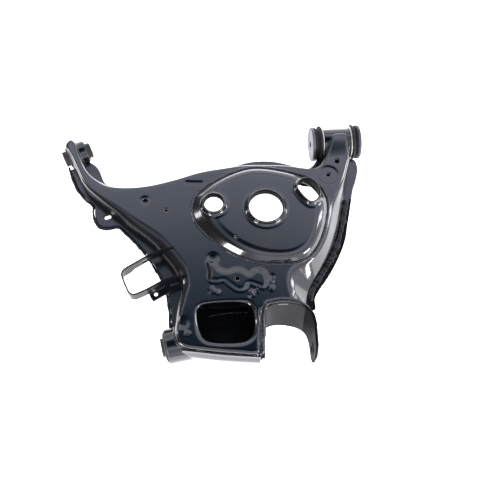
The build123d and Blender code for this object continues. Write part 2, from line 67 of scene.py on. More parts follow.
FU = [(-515.5, 14.5), (-502.5, -21.5), (-493.5, -47.0), (-485.5, -68.5), (-475.0, -86.0), (-461.0, -101.5),
      (-443.5, -119.5), (-426.0, -136.0), (-400.0, -162.5), (-376.5, -184.0), (-358.0, -204.0), (-340.5, -230.0),
      (-325.0, -256.0), (-319.0, -278.5), (-320.5, -299.0), (-324.0, -322.0), (-328.0, -346.5), (-331.5, -371.5),
      (-327.0, -385.0), (-314.5, -393.5), (-282.5, -400.9), (-251.2, -406.8), (-216.6, -412.0), (-197.6, -414.8),
      (-186.7, -412.0), (-183.4, -386.6), (-179.5, -359.0), (-176.5, -338.9), (-165.6, -332.4), (-143.6, -330.5),
      (-128.0, -331.0), (-94.0, -331.5), (-92.0, -316.0), (-88.0, -300.0), (-82.0, -289.0), (-74.5, -278.0),
      (-64.0, -264.5), (-54.0, -252.0), (-43.0, -236.5), (-32.0, -218.0), (-23.5, -199.5), (-15.0, -176.0),
      (-7.5, -151.0), (1.5, -122.5), (10.5, -92.5), (18.0, -69.0), (24.0, -45.5), (26.4, -23.0),
      (26.4, 4.0), (6.5, 12.0), (-14.0, 4.0), (-24.5, -19.0), (-34.5, -37.0), (-44.0, -51.5),
      (-54.5, -58.0), (-66.0, -57.5), (-87.5, -52.0), (-114.5, -46.5), (-137.5, -44.5), (-182.5, -42.5),
      (-219.5, -46.0), (-263.5, -53.0), (-312.0, -67.0), (-361.0, -77.0), (-398.5, -78.5), (-423.5, -75.5),
      (-438.5, -69.0), (-449.5, -62.0), (-460.5, -53.0), (-471.5, -38.5), (-478.0, -22.5), (-485.0, -0.5),
      (-490.5, 20.0), (-503.0, 29.0)]
FL = [(-509.0, -18.0), (-501.4, -44.2), (-492.0, -68.2), (-477.2, -89.2), (-463.7, -104.8), (-463.1, -118.2),
      (-460.9, -132.6), (-454.3, -145.2), (-442.9, -150.4), (-432.0, -149.8), (-423.0, -148.5), (-415.8, -151.4),
      (-405.1, -162.7), (-387.6, -183.9), (-370.4, -207.7), (-355.4, -235.0), (-343.9, -258.7), (-337.7, -278.0),
      (-334.5, -300.6), (-332.8, -319.1), (-333.6, -346.0), (-336.0, -372.0), (-330.5, -387.5), (-315.5, -396.6),
      (-283.0, -404.0), (-251.6, -409.9), (-217.0, -415.1), (-197.0, -418.0), (-184.8, -415.0), (-181.4, -386.6),
      (-177.5, -359.4), (-174.8, -340.4), (-165.2, -334.4), (-143.6, -332.5), (-127.0, -333.0), (-92.0, -334.5),
      (-80.5, -333.0), (-78.6, -313.6), (-70.0, -299.6), (-53.7, -279.9), (-39.9, -261.6), (-25.0, -238.3),
      (-12.2, -214.4), (-4.6, -194.8), (0.3, -176.8), (7.7, -152.1), (15.3, -125.7), (22.1, -102.7),
      (32.2, -79.1), (38.4, -55.8), (36.0, -38.5), (30.5, -33.5), (24.0, -22.0), (-20.0, -14.0),
      (-32.5, -25.5), (-41.0, -36.5), (-49.5, -46.0), (-58.0, -50.5), (-68.0, -49.0), (-88.5, -41.5),
      (-117.5, -31.9), (-146.2, -28.2), (-173.4, -29.8), (-195.2, -35.2), (-222.9, -40.4), (-264.5, -46.5),
      (-312.0, -60.5), (-360.5, -70.5), (-398.5, -72.0), (-421.0, -69.0), (-435.5, -62.5), (-444.0, -56.0),
      (-448.4, -45.5), (-453.9, -29.0), (-462.3, -16.5), (-473.0, -8.5), (-483.0, 2.0), (-500.0, -4.0)]
SEAT = [(-283.6, -130.0), (-283.3, -146.2), (-279.0, -164.5), (-267.8, -184.0), (-243.0, -210.1), (-221.3, -227.1),
        (-199.5, -240.1), (-173.9, -249.5), (-147.9, -253.8), (-116.1, -254.6), (-90.4, -249.1), (-69.4, -231.4),
        (-51.5, -200.1), (-42.5, -172.8), (-36.5, -146.8), (-37.3, -128.3), (-46.6, -107.8), (-61.2, -91.1),
        (-89.6, -77.5), (-119.5, -68.1), (-144.2, -62.8), (-167.5, -60.7), (-185.5, -62.8), (-200.9, -67.1),
        (-229.5, -78.9), (-254.4, -92.9), (-273.9, -110.2)]
SEAT_TOP = [(-259.7, -140.7), (-252.5, -168.0), (-229.4, -199.9), (-192.1, -228.3), (-151.5, -242.6), (-108.6, -242.2),
            (-80.6, -226.0), (-60.4, -187.2), (-53.5, -149.7), (-60.9, -120.7), (-90.1, -95.0), (-127.4, -80.1),
            (-167.3, -74.3), (-197.2, -79.7), (-231.2, -95.0), (-252.6, -116.1)]
LOWER_OPEN = [(-266.0, -95.0), (-263.0, -80.0), (-248.0, -71.0), (-222.0, -65.0), (-185.0, -59.0), (-145.0, -57.0),
              (-118.0, -60.0), (-97.0, -63.5), (-75.0, -65.9), (-39.2, -86.1), (-27.0, -105.0), (-27.0, -140.0),
              (-36.0, -176.0), (-55.0, -215.0), (-80.0, -240.0), (-120.0, -249.0), (-170.0, -246.0), (-215.0, -228.0),
              (-248.0, -204.0), (-268.0, -172.0), (-273.0, -130.0)]
WINDOW = [(-287.6, -338.3), (-285.2, -326.3), (-279.2, -321.0), (-267.6, -318.8), (-253.2, -318.2), (-230.3, -318.7),
          (-210.4, -321.2), (-200.3, -325.5), (-194.6, -332.8), (-193.2, -343.4), (-195.0, -366.8), (-199.4, -378.3),
          (-208.0, -385.0), (-222.2, -387.6), (-241.6, -386.8), (-260.9, -384.4), (-273.2, -380.6), (-279.8, -373.5),
          (-283.6, -364.2), (-286.3, -352.9)]
PEAR = [(-91.8, -115.7), (-84.3, -104.8), (-72.9, -101.5), (-62.6, -107.3), (-55.4, -120.2), (-54.6, -133.5),
        (-60.9, -144.2), (-70.5, -147.8), (-78.8, -141.0), (-87.2, -128.3)]
PAD = [(-262.9, -243.1), (-261.6, -262.0), (-261.6, -277.0), (-250.0, -280.4), (-237.8, -279.4), (-228.8, -287.4),
       (-213.4, -298.8), (-202.7, -296.9), (-194.9, -288.0), (-182.0, -292.5), (-172.0, -297.1), (-164.5, -291.2),
       (-164.1, -276.4), (-167.0, -268.8), (-182.5, -265.1), (-192.7, -271.8), (-206.7, -262.2), (-218.0, -261.0),
       (-229.6, -264.3), (-244.8, -258.5), (-254.0, -247.0)]
STRAP = [(-321.5, -211.5), (-338.1, -214.2), (-359.2, -220.8), (-412.6, -249.4), (-415.0, -253.5), (-400.5, -293.8),
         (-396.0, -297.2), (-370.1, -287.0), (-338.8, -270.9), (-301.8, -263.0)]
CLIP_LUG = [(-333.0, -262.0), (-352.0, -271.5), (-371.0, -279.5), (-366.5, -292.0), (-362.3, -299.0), (-345.0, -290.0),
            (-331.0, -284.0)]
FORK_TOP = [(-178.0, -336.4), (-158.6, -326.2), (-143.6, -324.5), (-126.0, -325.8), (-110.5, -330.6), (-98.5, -339.0),
            (-91.0, -349.5), (-88.6, -364.0), (-89.4, -384.0), (-91.5, -420.0)]
FORK_BOT = [(-172.0, -348.2), (-156.5, -343.8), (-143.6, -343.4), (-128.0, -345.8), (-112.5, -350.8), (-102.0, -357.6),
            (-95.6, -366.0), (-92.6, -377.0), (-91.4, -391.0), (-92.0, -420.0)]
FRONT_EDGE = [(-318.0, -398.0), (-283.1, -404.4), (-251.7, -410.3), (-217.1, -415.5), (-186.5, -419.5)]
INNER_EAR = [(-184.7, -419.0), (-180.9, -386.6), (-177.1, -359.4), (-175.8, -350.0)]


FU = [(p[0] + 0.15 * (f[0] - p[0]), p[1] + 0.15 * (f[1] - p[1])) if 2 <= i <= 14 else f
      for i, (p, f) in enumerate(zip(PU, FU))]


# ---------------------------------------------------------------- 2D and 3D field tools
def resample(pts, step, closed=True, smooth=True):
    """Catmull-Rom through the points, resampled to even steps."""
    p = np.array(pts, float)
    if smooth:
        n = len(p)
        out = []
        rng = range(n if closed else n - 1)
        for i in rng:
            if closed:
                p0, p1, p2, p3 = p[i - 1], p[i], p[(i + 1) % n], p[(i + 2) % n]
            else:
                p0, p1, p2, p3 = p[max(i - 1, 0)], p[i], p[i + 1], p[min(i + 2, n - 1)]
            t = np.linspace(0, 1, 17)[:-1][:, None]
            d1 = np.linalg.norm(p2 - p1) + 1e-9
            l0 = np.linalg.norm(p1 - p0) + 1e-9
            l2 = np.linalg.norm(p3 - p2) + 1e-9
            m1 = ((p1 - p0) / l0 * d1 + (p2 - p1)) / 2 if l0 > 1e-6 else (p2 - p1)
            m2 = ((p3 - p2) / l2 * d1 + (p2 - p1)) / 2 if l2 > 1e-6 else (p2 - p1)
            if not closed and i == 0:
                m1 = p2 - p1
            if not closed and i == n - 2:
                m2 = p2 - p1
            h00, h10 = 2 * t ** 3 - 3 * t ** 2 + 1, t ** 3 - 2 * t ** 2 + t
            h01, h11 = -2 * t ** 3 + 3 * t ** 2, t ** 3 - t ** 2
            out.append(h00 * p1 + h10 * m1 + h01 * p2 + h11 * m2)
        q = np.vstack(out)
        if not closed:
            q = np.vstack([q, p[-1:]])
    else:
        q = p
    loop = np.vstack([q, q[:1]]) if closed else q
    seg = np.linalg.norm(np.diff(loop, axis=0), axis=1)
    s = np.concatenate([[0], np.cumsum(seg)])
    m = max(3, int(round(s[-1] / step)))
    t = np.linspace(0, s[-1], m + 1)
    r = np.stack([np.interp(t, s, loop[:, k]) for k in range(loop.shape[1])], axis=1)
    return r[:-1] if closed else r


def sdf2(pts, X, Y, closed=True):
    """Signed distance to a closed outline (negative inside), or plain distance to a line."""
    p = np.array(pts, float)
    n = len(p)
    d2 = np.full(X.shape, 1e12)
    inside = np.zeros(X.shape, bool)
    for i in range(n if closed else n - 1):
        a, b = p[i], p[(i + 1) % n]
        e = b - a
        wx, wy = X - a[0], Y - a[1]
        t = np.clip((wx * e[0] + wy * e[1]) / (e @ e + 1e-12), 0, 1)
        dx, dy = wx - t * e[0], wy - t * e[1]
        np.minimum(d2, dx * dx + dy * dy, out=d2)
        if closed:
            c = (a[1] > Y) != (b[1] > Y)
            if c.any():
                xi = a[0] + (Y - a[1]) / (b[1] - a[1] + 1e-30) * e[0]
                inside ^= c & (X < xi)
    d = np.sqrt(d2)
    return np.where(inside, -d, d) if closed else d


def rmax(a, b, r):
    """Intersection with a rounded outer edge of radius r."""
    u = np.maximum(a + r, 0)
    v = np.maximum(b + r, 0)
    return np.minimum(-r, np.maximum(a, b)) + np.sqrt(u * u + v * v)


def smin(a, b, k):
    """Union with a filleted inner corner."""
    h = np.clip(0.5 + 0.5 * (b - a) / k, 0, 1)
    return b * (1 - h) + a * h - k * h * (1 - h)


def sstep(e0, e1, x):
    t = np.clip((x - e0) / (e1 - e0), 0, 1)
    return t * t * (3 - 2 * t)


EDGES = [(0, 1), (2, 3), (4, 5), (6, 7), (0, 2), (1, 3), (4, 6), (5, 7), (0, 4), (1, 5), (2, 6), (3, 7)]


def surface_nets(F, org, h):
    """Naive surface nets: vertices and outward quads of F = 0 (negative inside)."""
    nx, ny, nz = F.shape
    s = F < 0
    cor = [(i, j, k) for i in (0, 1) for j in (0, 1) for k in (0, 1)]
    cnt = np.zeros((nx - 1, ny - 1, nz - 1), np.int8)
    for i, j, k in cor:
        cnt += s[i:nx - 1 + i, j:ny - 1 + j, k:nz - 1 + k]
    act = (cnt > 0) & (cnt < 8)
    cells = np.argwhere(act)
    idx = np.full(act.shape, -1, np.int64)
    idx[act] = np.arange(len(cells))
    vals = np.stack([F[cells[:, 0] + i, cells[:, 1] + j, cells[:, 2] + k] for i, j, k in cor], axis=1)
    C = np.array(cor, float)
    acc = np.zeros((len(cells), 3))
    num = np.zeros(len(cells))
    for a, b in EDGES:
        va, vb = vals[:, a], vals[:, b]
        m = (va < 0) != (vb < 0)
        t = np.where(m, va / np.where(m, va - vb, 1), 0)
        acc += np.where(m[:, None], C[a] + t[:, None] * (C[b] - C[a]), 0)
        num += m
    v = cells + acc / num[:, None]
    quads = []
    for ax in range(3):
        o = [k for k in range(3) if k != ax]
        sl0 = [slice(1, -1)] * 3
        sl1 = [slice(1, -1)] * 3
        sl0[ax] = slice(0, -1)
        sl1[ax] = slice(1, None)
        a, b = s[tuple(sl0)], s[tuple(sl1)]
        m = np.argwhere(a != b)
        if not len(m):
            continue
        sign = a[tuple(m.T)]
        base = m.copy()
        base[:, o[0]] += 1
        base[:, o[1]] += 1
        c = []
        for d0, d1 in ((-1, -1), (0, -1), (0, 0), (-1, 0)):
            q = base.copy()
            q[:, o[0]] += d0
            q[:, o[1]] += d1
            c.append(idx[tuple(q.T)])
        q = np.stack(c, axis=1)
        flip = sign if ax != 1 else ~sign
        q = np.where(flip[:, None], q, q[:, ::-1])
        quads.append(q)
    quads = np.vstack(quads)
    quads = quads[(quads >= 0).all(axis=1)]
    return v, quads


def tri(F, v):
    """Trilinear samples of F at fractional grid positions."""
    i = np.clip(v.astype(int), 0, np.array(F.shape) - 2)
    f = v - i
    out = 0
    for a in (0, 1):
        for b in (0, 1):
            for c in (0, 1):
                w = (f[:, 0] if a else 1 - f[:, 0]) * (f[:, 1] if b else 1 - f[:, 1]) * (f[:, 2] if c else 1 - f[:, 2])
                out = out + w * F[i[:, 0] + a, i[:, 1] + b, i[:, 2] + c]
    return out


def relax(v, q, h, passes=1):
    """Takes the grid's ripple out of a mesh without shrinking it."""
    q = np.asarray(q)
    e = np.vstack([q[:, [0, 1]], q[:, [1, 2]], q[:, [2, 3]], q[:, [3, 0]]])
    e = np.unique(np.sort(e, axis=1), axis=0)
    deg = np.bincount(e.ravel(), minlength=len(v)).astype(float)[:, None]
    p = np.array(v, float) * h
    for _ in range(passes):
        for lam in (0.45, -0.47):
            acc = np.zeros_like(p)
            for k in range(3):
                acc[:, k] = np.bincount(e[:, 0], weights=p[e[:, 1], k], minlength=len(p)) + np.bincount(e[:, 1], weights=p[e[:, 0], k], minlength=len(p))
            p = p + lam * (acc / np.maximum(deg, 1) - p)
    return p / h


class Field:
    """A box-shaped sampling grid in mm."""

    def __init__(self, lo, hi, h):
        self.lo = np.array(lo, float)
        self.h = np.array(h if hasattr(h, "__len__") else (h, h, h), float)
        n = np.ceil((np.array(hi) - self.lo) / self.h).astype(int) + 1
        self.x, self.y, self.z = [self.lo[k] + self.h[k] * np.arange(n[k]) for k in range(3)]
        self.X, self.Y = np.meshgrid(self.x, self.y, indexing="ij")
        self.X3, self.Y3, self.Z3 = self.X[:, :, None], self.Y[:, :, None], self.z[None, None, :]

    def full(self, F):
        F = np.array(np.broadcast_to(F, (len(self.x), len(self.y), len(self.z))), dtype=np.float32)
        for k in range(3):
            sl = [slice(None)] * 3
            for e in (0, -1):
                sl[k] = e
                F[tuple(sl)] = np.maximum(F[tuple(sl)], 0.05)
        return F

    def mesh(self, name, F, keep=1.0, warp=None, crease=None):
        F = self.full(F)
        v, q = surface_nets(F, self.lo, self.h)
        g = np.gradient(F, *self.h)
        for _ in range(3):
            f = tri(F, v)
            n = np.stack([tri(gk, v) for gk in g], axis=1)
            l2 = (n * n).sum(axis=1) + 1e-6
            step = np.clip(f / l2, -0.6, 0.6)[:, None] * n
            v = v - step / self.h * 0.9
        v = relax(v, q, self.h)
        p = self.lo + v * self.h
        me = bpy.data.meshes.new(name)
        me.from_pydata((p / 1000.0).tolist(), [], q.tolist())
        me.update()
        ob = bpy.data.objects.new(name, me)
        bpy.context.collection.objects.link(ob)
        if keep < 1.0:
            m = ob.modifiers.new("d", "DECIMATE")
            m.ratio = keep
            dg = bpy.context.evaluated_depsgraph_get()
            me2 = bpy.data.meshes.new_from_object(ob.evaluated_get(dg))
            ob.modifiers.clear()
            ob.data = me2
            bpy.data.meshes.remove(me)
            me = me2
            me.name = name
        co = np.empty(len(me.vertices) * 3)
        me.vertices.foreach_get("co", co)
        co = co.reshape(-1, 3) * 1000.0
        vv = (co - self.lo) / self.h
        n = np.stack([tri(gk, vv) for gk in g], axis=1)
        n /= np.linalg.norm(n, axis=1)[:, None] + 1e-9
        nm = np.empty(len(me.vertices) * 3)
        me.vertices.foreach_get("normal", nm)
        n = 0.25 * n + 0.75 * nm.reshape(-1, 3)
        n /= np.linalg.norm(n, axis=1)[:, None] + 1e-9
        if warp is not None:
            co2, n = warp(co, n)
            me.vertices.foreach_set("co", (co2 / 1000.0).ravel())
        me.polygons.foreach_set("use_smooth", [True] * len(me.polygons))
        me.update()
        me.normals_split_custom_set_from_vertices(n.tolist())
        return ob


H = 1.5


# ---------------------------------------------------------------- materials
def node_material(name, base, rough, metallic=0.0, coat=0.0, coat_rough=0.05, noise_scale=60.0, tint=None,
                  rough_var=0.08, bump=0.02, bump_scale=900.0, mottled=0.0, mottle_col=(0.05, 0.04, 0.035),
                  spec=0.5, wave=None):
    m = bpy.data.materials.new(name)
    m.use_nodes = True
    nt = m.node_tree
    b = nt.nodes["Principled BSDF"]
    b.inputs["Metallic"].default_value = metallic
    b.inputs["Coat Weight"].default_value = coat
    b.inputs["Coat Roughness"].default_value = coat_rough
    b.inputs["Specular IOR Level"].default_value = spec
    tc = nt.nodes.new("ShaderNodeTexCoord")
    n1 = nt.nodes.new("ShaderNodeTexNoise")
    n1.inputs["Scale"].default_value = noise_scale
    n1.inputs["Detail"].default_value = 6
    n1.inputs["Roughness"].default_value = 0.6
    nt.links.new(tc.outputs["Object"], n1.inputs["Vector"])
    # colour: base to tint by noise, then a sparse mottle
    ramp = nt.nodes.new("ShaderNodeValToRGB")
    t = tint or tuple(min(1, c * 1.25) for c in base)
    ramp.color_ramp.elements[0].position = 0.35
    ramp.color_ramp.elements[0].color = (*base, 1)
    ramp.color_ramp.elements[1].position = 0.70
    ramp.color_ramp.elements[1].color = (*t, 1)
    nt.links.new(n1.outputs["Fac"], ramp.inputs["Fac"])
    col = ramp.outputs["Color"]
    if mottled:
        n2 = nt.nodes.new("ShaderNodeTexNoise")
        n2.inputs["Scale"].default_value = noise_scale * 0.28
        n2.inputs["Detail"].default_value = 8
        n2.inputs["Roughness"].default_value = 0.65
        n2.inputs["Distortion"].default_value = 0.6
        nt.links.new(tc.outputs["Object"], n2.inputs["Vector"])
        mr = nt.nodes.new("ShaderNodeMapRange")
        mr.inputs["From Min"].default_value = 0.55
        mr.inputs["From Max"].default_value = 0.72
        mr.inputs["To Min"].default_value = 0.0
        mr.inputs["To Max"].default_value = mottled
        nt.links.new(n2.outputs["Fac"], mr.inputs["Value"])
        mix = nt.nodes.new("ShaderNodeMix")
        mix.data_type = "RGBA"
        nt.links.new(mr.outputs["Result"], mix.inputs["Factor"])
        nt.links.new(col, mix.inputs["A"])
        mix.inputs["B"].default_value = (*mottle_col, 1)
        col = mix.outputs["Result"]
    nt.links.new(col, b.inputs["Base Color"])
    # roughness
    n3 = nt.nodes.new("ShaderNodeTexNoise")
    n3.inputs["Scale"].default_value = noise_scale * 0.6
    n3.inputs["Detail"].default_value = 5
    nt.links.new(tc.outputs["Object"], n3.inputs["Vector"])
    r = nt.nodes.new("ShaderNodeMapRange")
    r.inputs["From Min"].default_value = 0.3
    r.inputs["From Max"].default_value = 0.7
    r.inputs["To Min"].default_value = max(0.02, rough - rough_var)
    r.inputs["To Max"].default_value = min(1, rough + rough_var)
    nt.links.new(n3.outputs["Fac"], r.inputs["Value"])
    nt.links.new(r.outputs["Result"], b.inputs["Roughness"])
    # bump
    n4 = nt.nodes.new("ShaderNodeTexNoise")
    n4.inputs["Scale"].default_value = bump_scale
    n4.inputs["Detail"].default_value = 3
    nt.links.new(tc.outputs["Object"], n4.inputs["Vector"])
    bp = nt.nodes.new("ShaderNodeBump")
    bp.inputs["Strength"].default_value = bump
    bp.inputs["Distance"].default_value = 0.001
    nt.links.new(n4.outputs["Fac"], bp.inputs["Height"])
    last = bp
    if wave:
        w = nt.nodes.new("ShaderNodeTexWave")
        w.wave_type = "RINGS"
        w.rings_direction = wave[0]
        w.inputs["Scale"].default_value = wave[1]
        w.inputs["Distortion"].default_value = wave[2]
        w.inputs["Detail"].default_value = 2
        nt.links.new(tc.outputs["Object"], w.inputs["Vector"])
        b2 = nt.nodes.new("ShaderNodeBump")
        b2.inputs["Strength"].default_value = wave[3]
        b2.inputs["Distance"].default_value = 0.0004
        nt.links.new(w.outputs["Fac"], b2.inputs["Height"])
        nt.links.new(bp.outputs["Normal"], b2.inputs["Normal"])
        last = b2
    nt.links.new(last.outputs["Normal"], b.inputs["Normal"])
    return m


PAINT = node_material("black_coat", (0.0018, 0.0022, 0.0028), 0.19, coat=1.0, coat_rough=0.07, noise_scale=14,
                      tint=(0.0028, 0.0030, 0.0036), rough_var=0.05, bump=0.016, bump_scale=420,
                      mottled=0.7, mottle_col=(0.026, 0.016, 0.011), spec=0.5)
PAINT_DARK = node_material("black_coat_rough", (0.0040, 0.0042, 0.0050), 0.30, coat=0.8, coat_rough=0.14, noise_scale=40,
                           rough_var=0.1, bump=0.10, bump_scale=600, mottled=0.4, mottle_col=(0.018, 0.013, 0.010))
# Matt, low-reflection copy of the black paint: painted shade on the faces inside the hollow sections and collar holes.
PAINT_HOLLOW_SHADE = node_material("black_coat_hollow_shade", (0.0030, 0.0030, 0.0034), 0.62, coat=0.0, noise_scale=30, rough_var=0.12, bump=0.12,
                         bump_scale=500, mottled=0.5, mottle_col=(0.010, 0.008, 0.006), spec=0.08)
# Rougher, low-reflection copy of the black paint: painted shade on the fork, the strap and the left outer wall.
PAINT_SHADE = node_material("black_coat_shaded", (0.0030, 0.0032, 0.0040), 0.36, coat=0.05, coat_rough=0.18, noise_scale=30,
                            rough_var=0.10, bump=0.06, bump_scale=500, mottled=0.5, mottle_col=(0.012, 0.009, 0.008), spec=0.15)
WELD = node_material("weld_coat", (0.0045, 0.0045, 0.0050), 0.24, coat=1.0, coat_rough=0.08, noise_scale=120,
                     rough_var=0.12, bump=0.28, bump_scale=900, mottled=0.5, mottle_col=(0.018, 0.013, 0.010))
WELD_DARK = node_material("weld_coat_dark", (0.0035, 0.0033, 0.0035), 0.38, coat=0.35, coat_rough=0.16, noise_scale=120,
                          rough_var=0.12, bump=0.35, bump_scale=900, mottled=0.5, mottle_col=(0.016, 0.010, 0.008), spec=0.25)
RUBBER = node_material("bush_rubber", (0.012, 0.0115, 0.0115), 0.62, noise_scale=80, rough_var=0.12, bump=0.16,
                       bump_scale=1500, mottled=0.5, mottle_col=(0.035, 0.030, 0.028), spec=0.35)
SLEEVE = node_material("dark_sleeve", (0.030, 0.026, 0.025), 0.55, metallic=0.15, noise_scale=90, rough_var=0.12,
                       bump=0.12, bump_scale=1400, mottled=0.5, mottle_col=(0.06, 0.05, 0.045))
PLATED = node_material("plated_steel", (0.60, 0.57, 0.50), 0.34, metallic=0.75, noise_scale=60, rough_var=0.1,
                       bump=0.04, bump_scale=1500, mottled=0.4, mottle_col=(0.36, 0.33, 0.28))
FACE = node_material("machined_face", (0.095, 0.092, 0.103), 0.42, metallic=0.2, noise_scale=50, rough_var=0.08,
                     bump=0.04, bump_scale=1600, mottled=0.3, mottle_col=(0.09, 0.086, 0.095), wave=("X", 320.0, 1.5, 0.08))


def dress(ob, mat, body, nodes):
    ob.data.materials.clear()
    ob.data.materials.append(mat)
    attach(ob, body)
    if nodes:
        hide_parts(*nodes)
    return ob


# ---------------------------------------------------------------- upper shell
TUBE_VR = 28.8        # outside of the front housing


def tube_cut(g, sheet):
    """Clearance for the front and rear housings."""
    rho = np.sqrt(g.Y3 ** 2 + g.Z3 ** 2)
    sheet = np.maximum(sheet, np.where(np.abs(g.X3) < 60, TUBE_VR + 0.1 - rho, -99.0))
    ends = np.maximum(np.maximum(rho - 36.0, np.abs(g.X3) - 52.0), np.minimum(g.X3 - FRONT_X0, FRONT_X1 - g.X3))
    sheet = np.maximum(sheet, -ends)
    rx, ry = g.X3 - REAR_C[0], g.Y3 - REAR_C[1]
    w = -rx * REAR_AX[1] + ry * REAR_AX[0]
    sheet = np.maximum(sheet, 23.1 - np.sqrt(w ** 2 + g.Z3 ** 2))
    kx, ky, kz = g.X3 - KN_C[0], g.Y3 - KN_C[1], g.Z3 - KN_C[2]
    t = kx * KN_AX[0] + ky * KN_AX[1]
    w = -kx * KN_AX[1] + ky * KN_AX[0]
    kn = np.maximum(np.sqrt(w ** 2 + kz ** 2) - 31.0, -(t + 34.0))
    return np.maximum(sheet, -kn)


PUs, FUs, FLs = resample(PU, 1.8), resample(FU, 1.8), resample(FL, 2.2)
SEATs, SEATTs = resample(SEAT, 2.0), resample(SEAT_TOP, 2.0)
WINs, PEARs, LOs, PADs = resample(WINDOW, 2.5), resample(PEAR, 2.0), resample(LOWER_OPEN, 4.0), resample(PAD, 2.0)


def spatter(g, spots):
    """Small irregular humps and pits left by plug welds."""
    rs = np.random.RandomState(5)
    out = np.zeros(g.X.shape)
    for x, y, rad in spots:
        for _ in range(5):
            a, d = rs.uniform(0, 2 * math.pi), rad * rs.uniform(0.1, 0.9)
            cx, cy, w, hgt = x + d * math.cos(a), y + d * math.sin(a), rs.uniform(1.8, 3.2), rs.uniform(0.5, 1.3) * rs.choice([1, 1, -0.8])
            out += hgt * np.exp(-((g.X - cx) ** 2 + (g.Y - cy) ** 2) / (w * w))
    return out


def make_upper():
    g = Field((-526, -430, -9), (42, 36, 39), (H, H, 1.3))
    dPU, dFU = sdf2(PUs, g.X, g.Y), sdf2(FUs, g.X, g.Y)
    dS, dW = sdf2(SEATs, g.X, g.Y), sdf2(WINs, g.X, g.Y)
    zt = np.full(g.X.shape, Z_TOP)
    # sloping band along the left edge
    left = np.array(PU[3:17])
    n = len(left)
    widths = np.array([1.0, 3.0, 6.0, 9.0, 11.0, 14.0, 16.0, 18.0, 20.0, 20.0, 17.0, 12.0, 8.0, 5.0])[:n]
    best = np.full(g.X.shape, 1e9)
    wid = np.ones(g.X.shape)
    for i in range(n - 1):
        a, b = left[i], left[i + 1]
        e = b - a
        t = np.clip(((g.X - a[0]) * e[0] + (g.Y - a[1]) * e[1]) / (e @ e), 0, 1)
        d = np.hypot(g.X - a[0] - t * e[0], g.Y - a[1] - t * e[1])
        m = d < best
        best = np.where(m, d, best)
        wid = np.where(m, widths[i] + t * (widths[i + 1] - widths[i]), wid)
    f = np.clip(1 - np.maximum(-dPU, 0) / wid, 0, 1)
    f = np.where(best < 40, f, 0) * sstep(40, 26, best)
    zt = zt - (0.42 * wid) * f ** 1.35
    # raised pad on the neck
    dP = sdf2(PADs, g.X, g.Y)
    zt = zt + 3.4 * sstep(5.5, -6.0, dP)
    # shallow dish round the pilot hole of the right leg, and small press marks
    def disc(cx, cy, r, soft, dz):
        return dz * sstep(r + soft, r - soft, np.hypot(g.X - cx, g.Y - cy))
    zt = zt - disc(-27.5, -84.0, 18.5, 1.8, 0.8)
    zt = zt - disc(-253.7, -236.0, 8.0, 5.0, 1.6)
    zt = zt - disc(-368.2, -114.1, 7.5, 2.0, 0.7)
    zt = zt + spatter(g, [(-259.8, -297.2, 7), (-250.5, -299.5, 5), (-191.6, -305.9, 7), (-183.5, -301.0, 4), (-153.9, -279.3, 4),
                          (-155.0, -289.0, 4), (-156.2, -298.3, 4), (-312.6, -353.9, 5), (-309.4, -362.0, 4), (-306.8, -371.0, 6)])
    zt = zt - disc(-313.0, -350.0, 9.0, 5.0, 1.2)
    dc = sdf2([(-291, -83), (-264, -85.5)], g.X, g.Y, closed=False)
    zt = zt - 0.9 * sstep(5.0, 0.0, dc)
    # the plateau laps over the front housing
    zt = zt + np.where(g.X > -60, 3.6 * sstep(-48, -6, g.Y), 0.0)
    gx, gy = np.gradient(zt, g.h[0], g.h[1])
    top = (g.Z3 - zt[:, :, None]) / np.sqrt(1 + gx ** 2 + gy ** 2)[:, :, None]
    u = np.clip((Z_TOP - g.Z3) / 32.0, -0.3, 1.2)
    k = (dPU - dFU)
    wall = dPU[:, :, None] - k[:, :, None] * u
    wall = wall / np.sqrt(1 + (k / 32.0) ** 2)[:, :, None]
    G = rmax(top, wall, 6.0)
    roll = 4.0 + 6.5 * sstep(-335, -385, g.Y) + 5.0 * sstep(-225, -195, g.X) + 2.0 * sstep(-268, -288, g.X)
    G = rmax(G, -dW[:, :, None], np.minimum(roll, 11.0)[:, :, None])
    sheet = np.maximum(G, -(G + SHEET))
    sheet = np.maximum(sheet, -4.6 - g.Z3)
    lip = np.maximum(g.Z3 - (Z_TOP - 10.0), dW[:, :, None] - (SHEET + 4))
    sheet = np.maximum(sheet, -lip)
    sheet = np.maximum(sheet, -(dS + 13)[:, :, None])
    for x, y, r in [(-368.2, -114.1, 4.0), (-331.3, -136.9, 2.6), (-7.3, -56.0, 4.3), (-27.5, -83.5, 3.2),
                    (-214.4, -278.4, 3.6)]:
        sheet = np.maximum(sheet, (r - np.hypot(g.X - x, g.Y - y))[:, :, None])
    sheet = tube_cut(g, sheet)
    ob = g.mesh("upper_shell_pressing", sheet, keep=0.5)
    dress(ob, PAINT, "arm", [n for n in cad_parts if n.startswith("upper_shell")])
    # Painted shade: the upper shell's left outer wall gets the low-reflection copy of the paint so that it reads
    # darker.
    return shade_coat(ob, lambda c: (c[:, 2] < 22.5) & (c[:, 0] < -285) & (c[:, 1] > -330)
                       & (sdf2([(-330, -330), (-300, -250), (-440, -100), (-500, 40), (-560, 40), (-560, -330)], c[:, 0], c[:, 1]) < 0), mat=PAINT_SHADE)


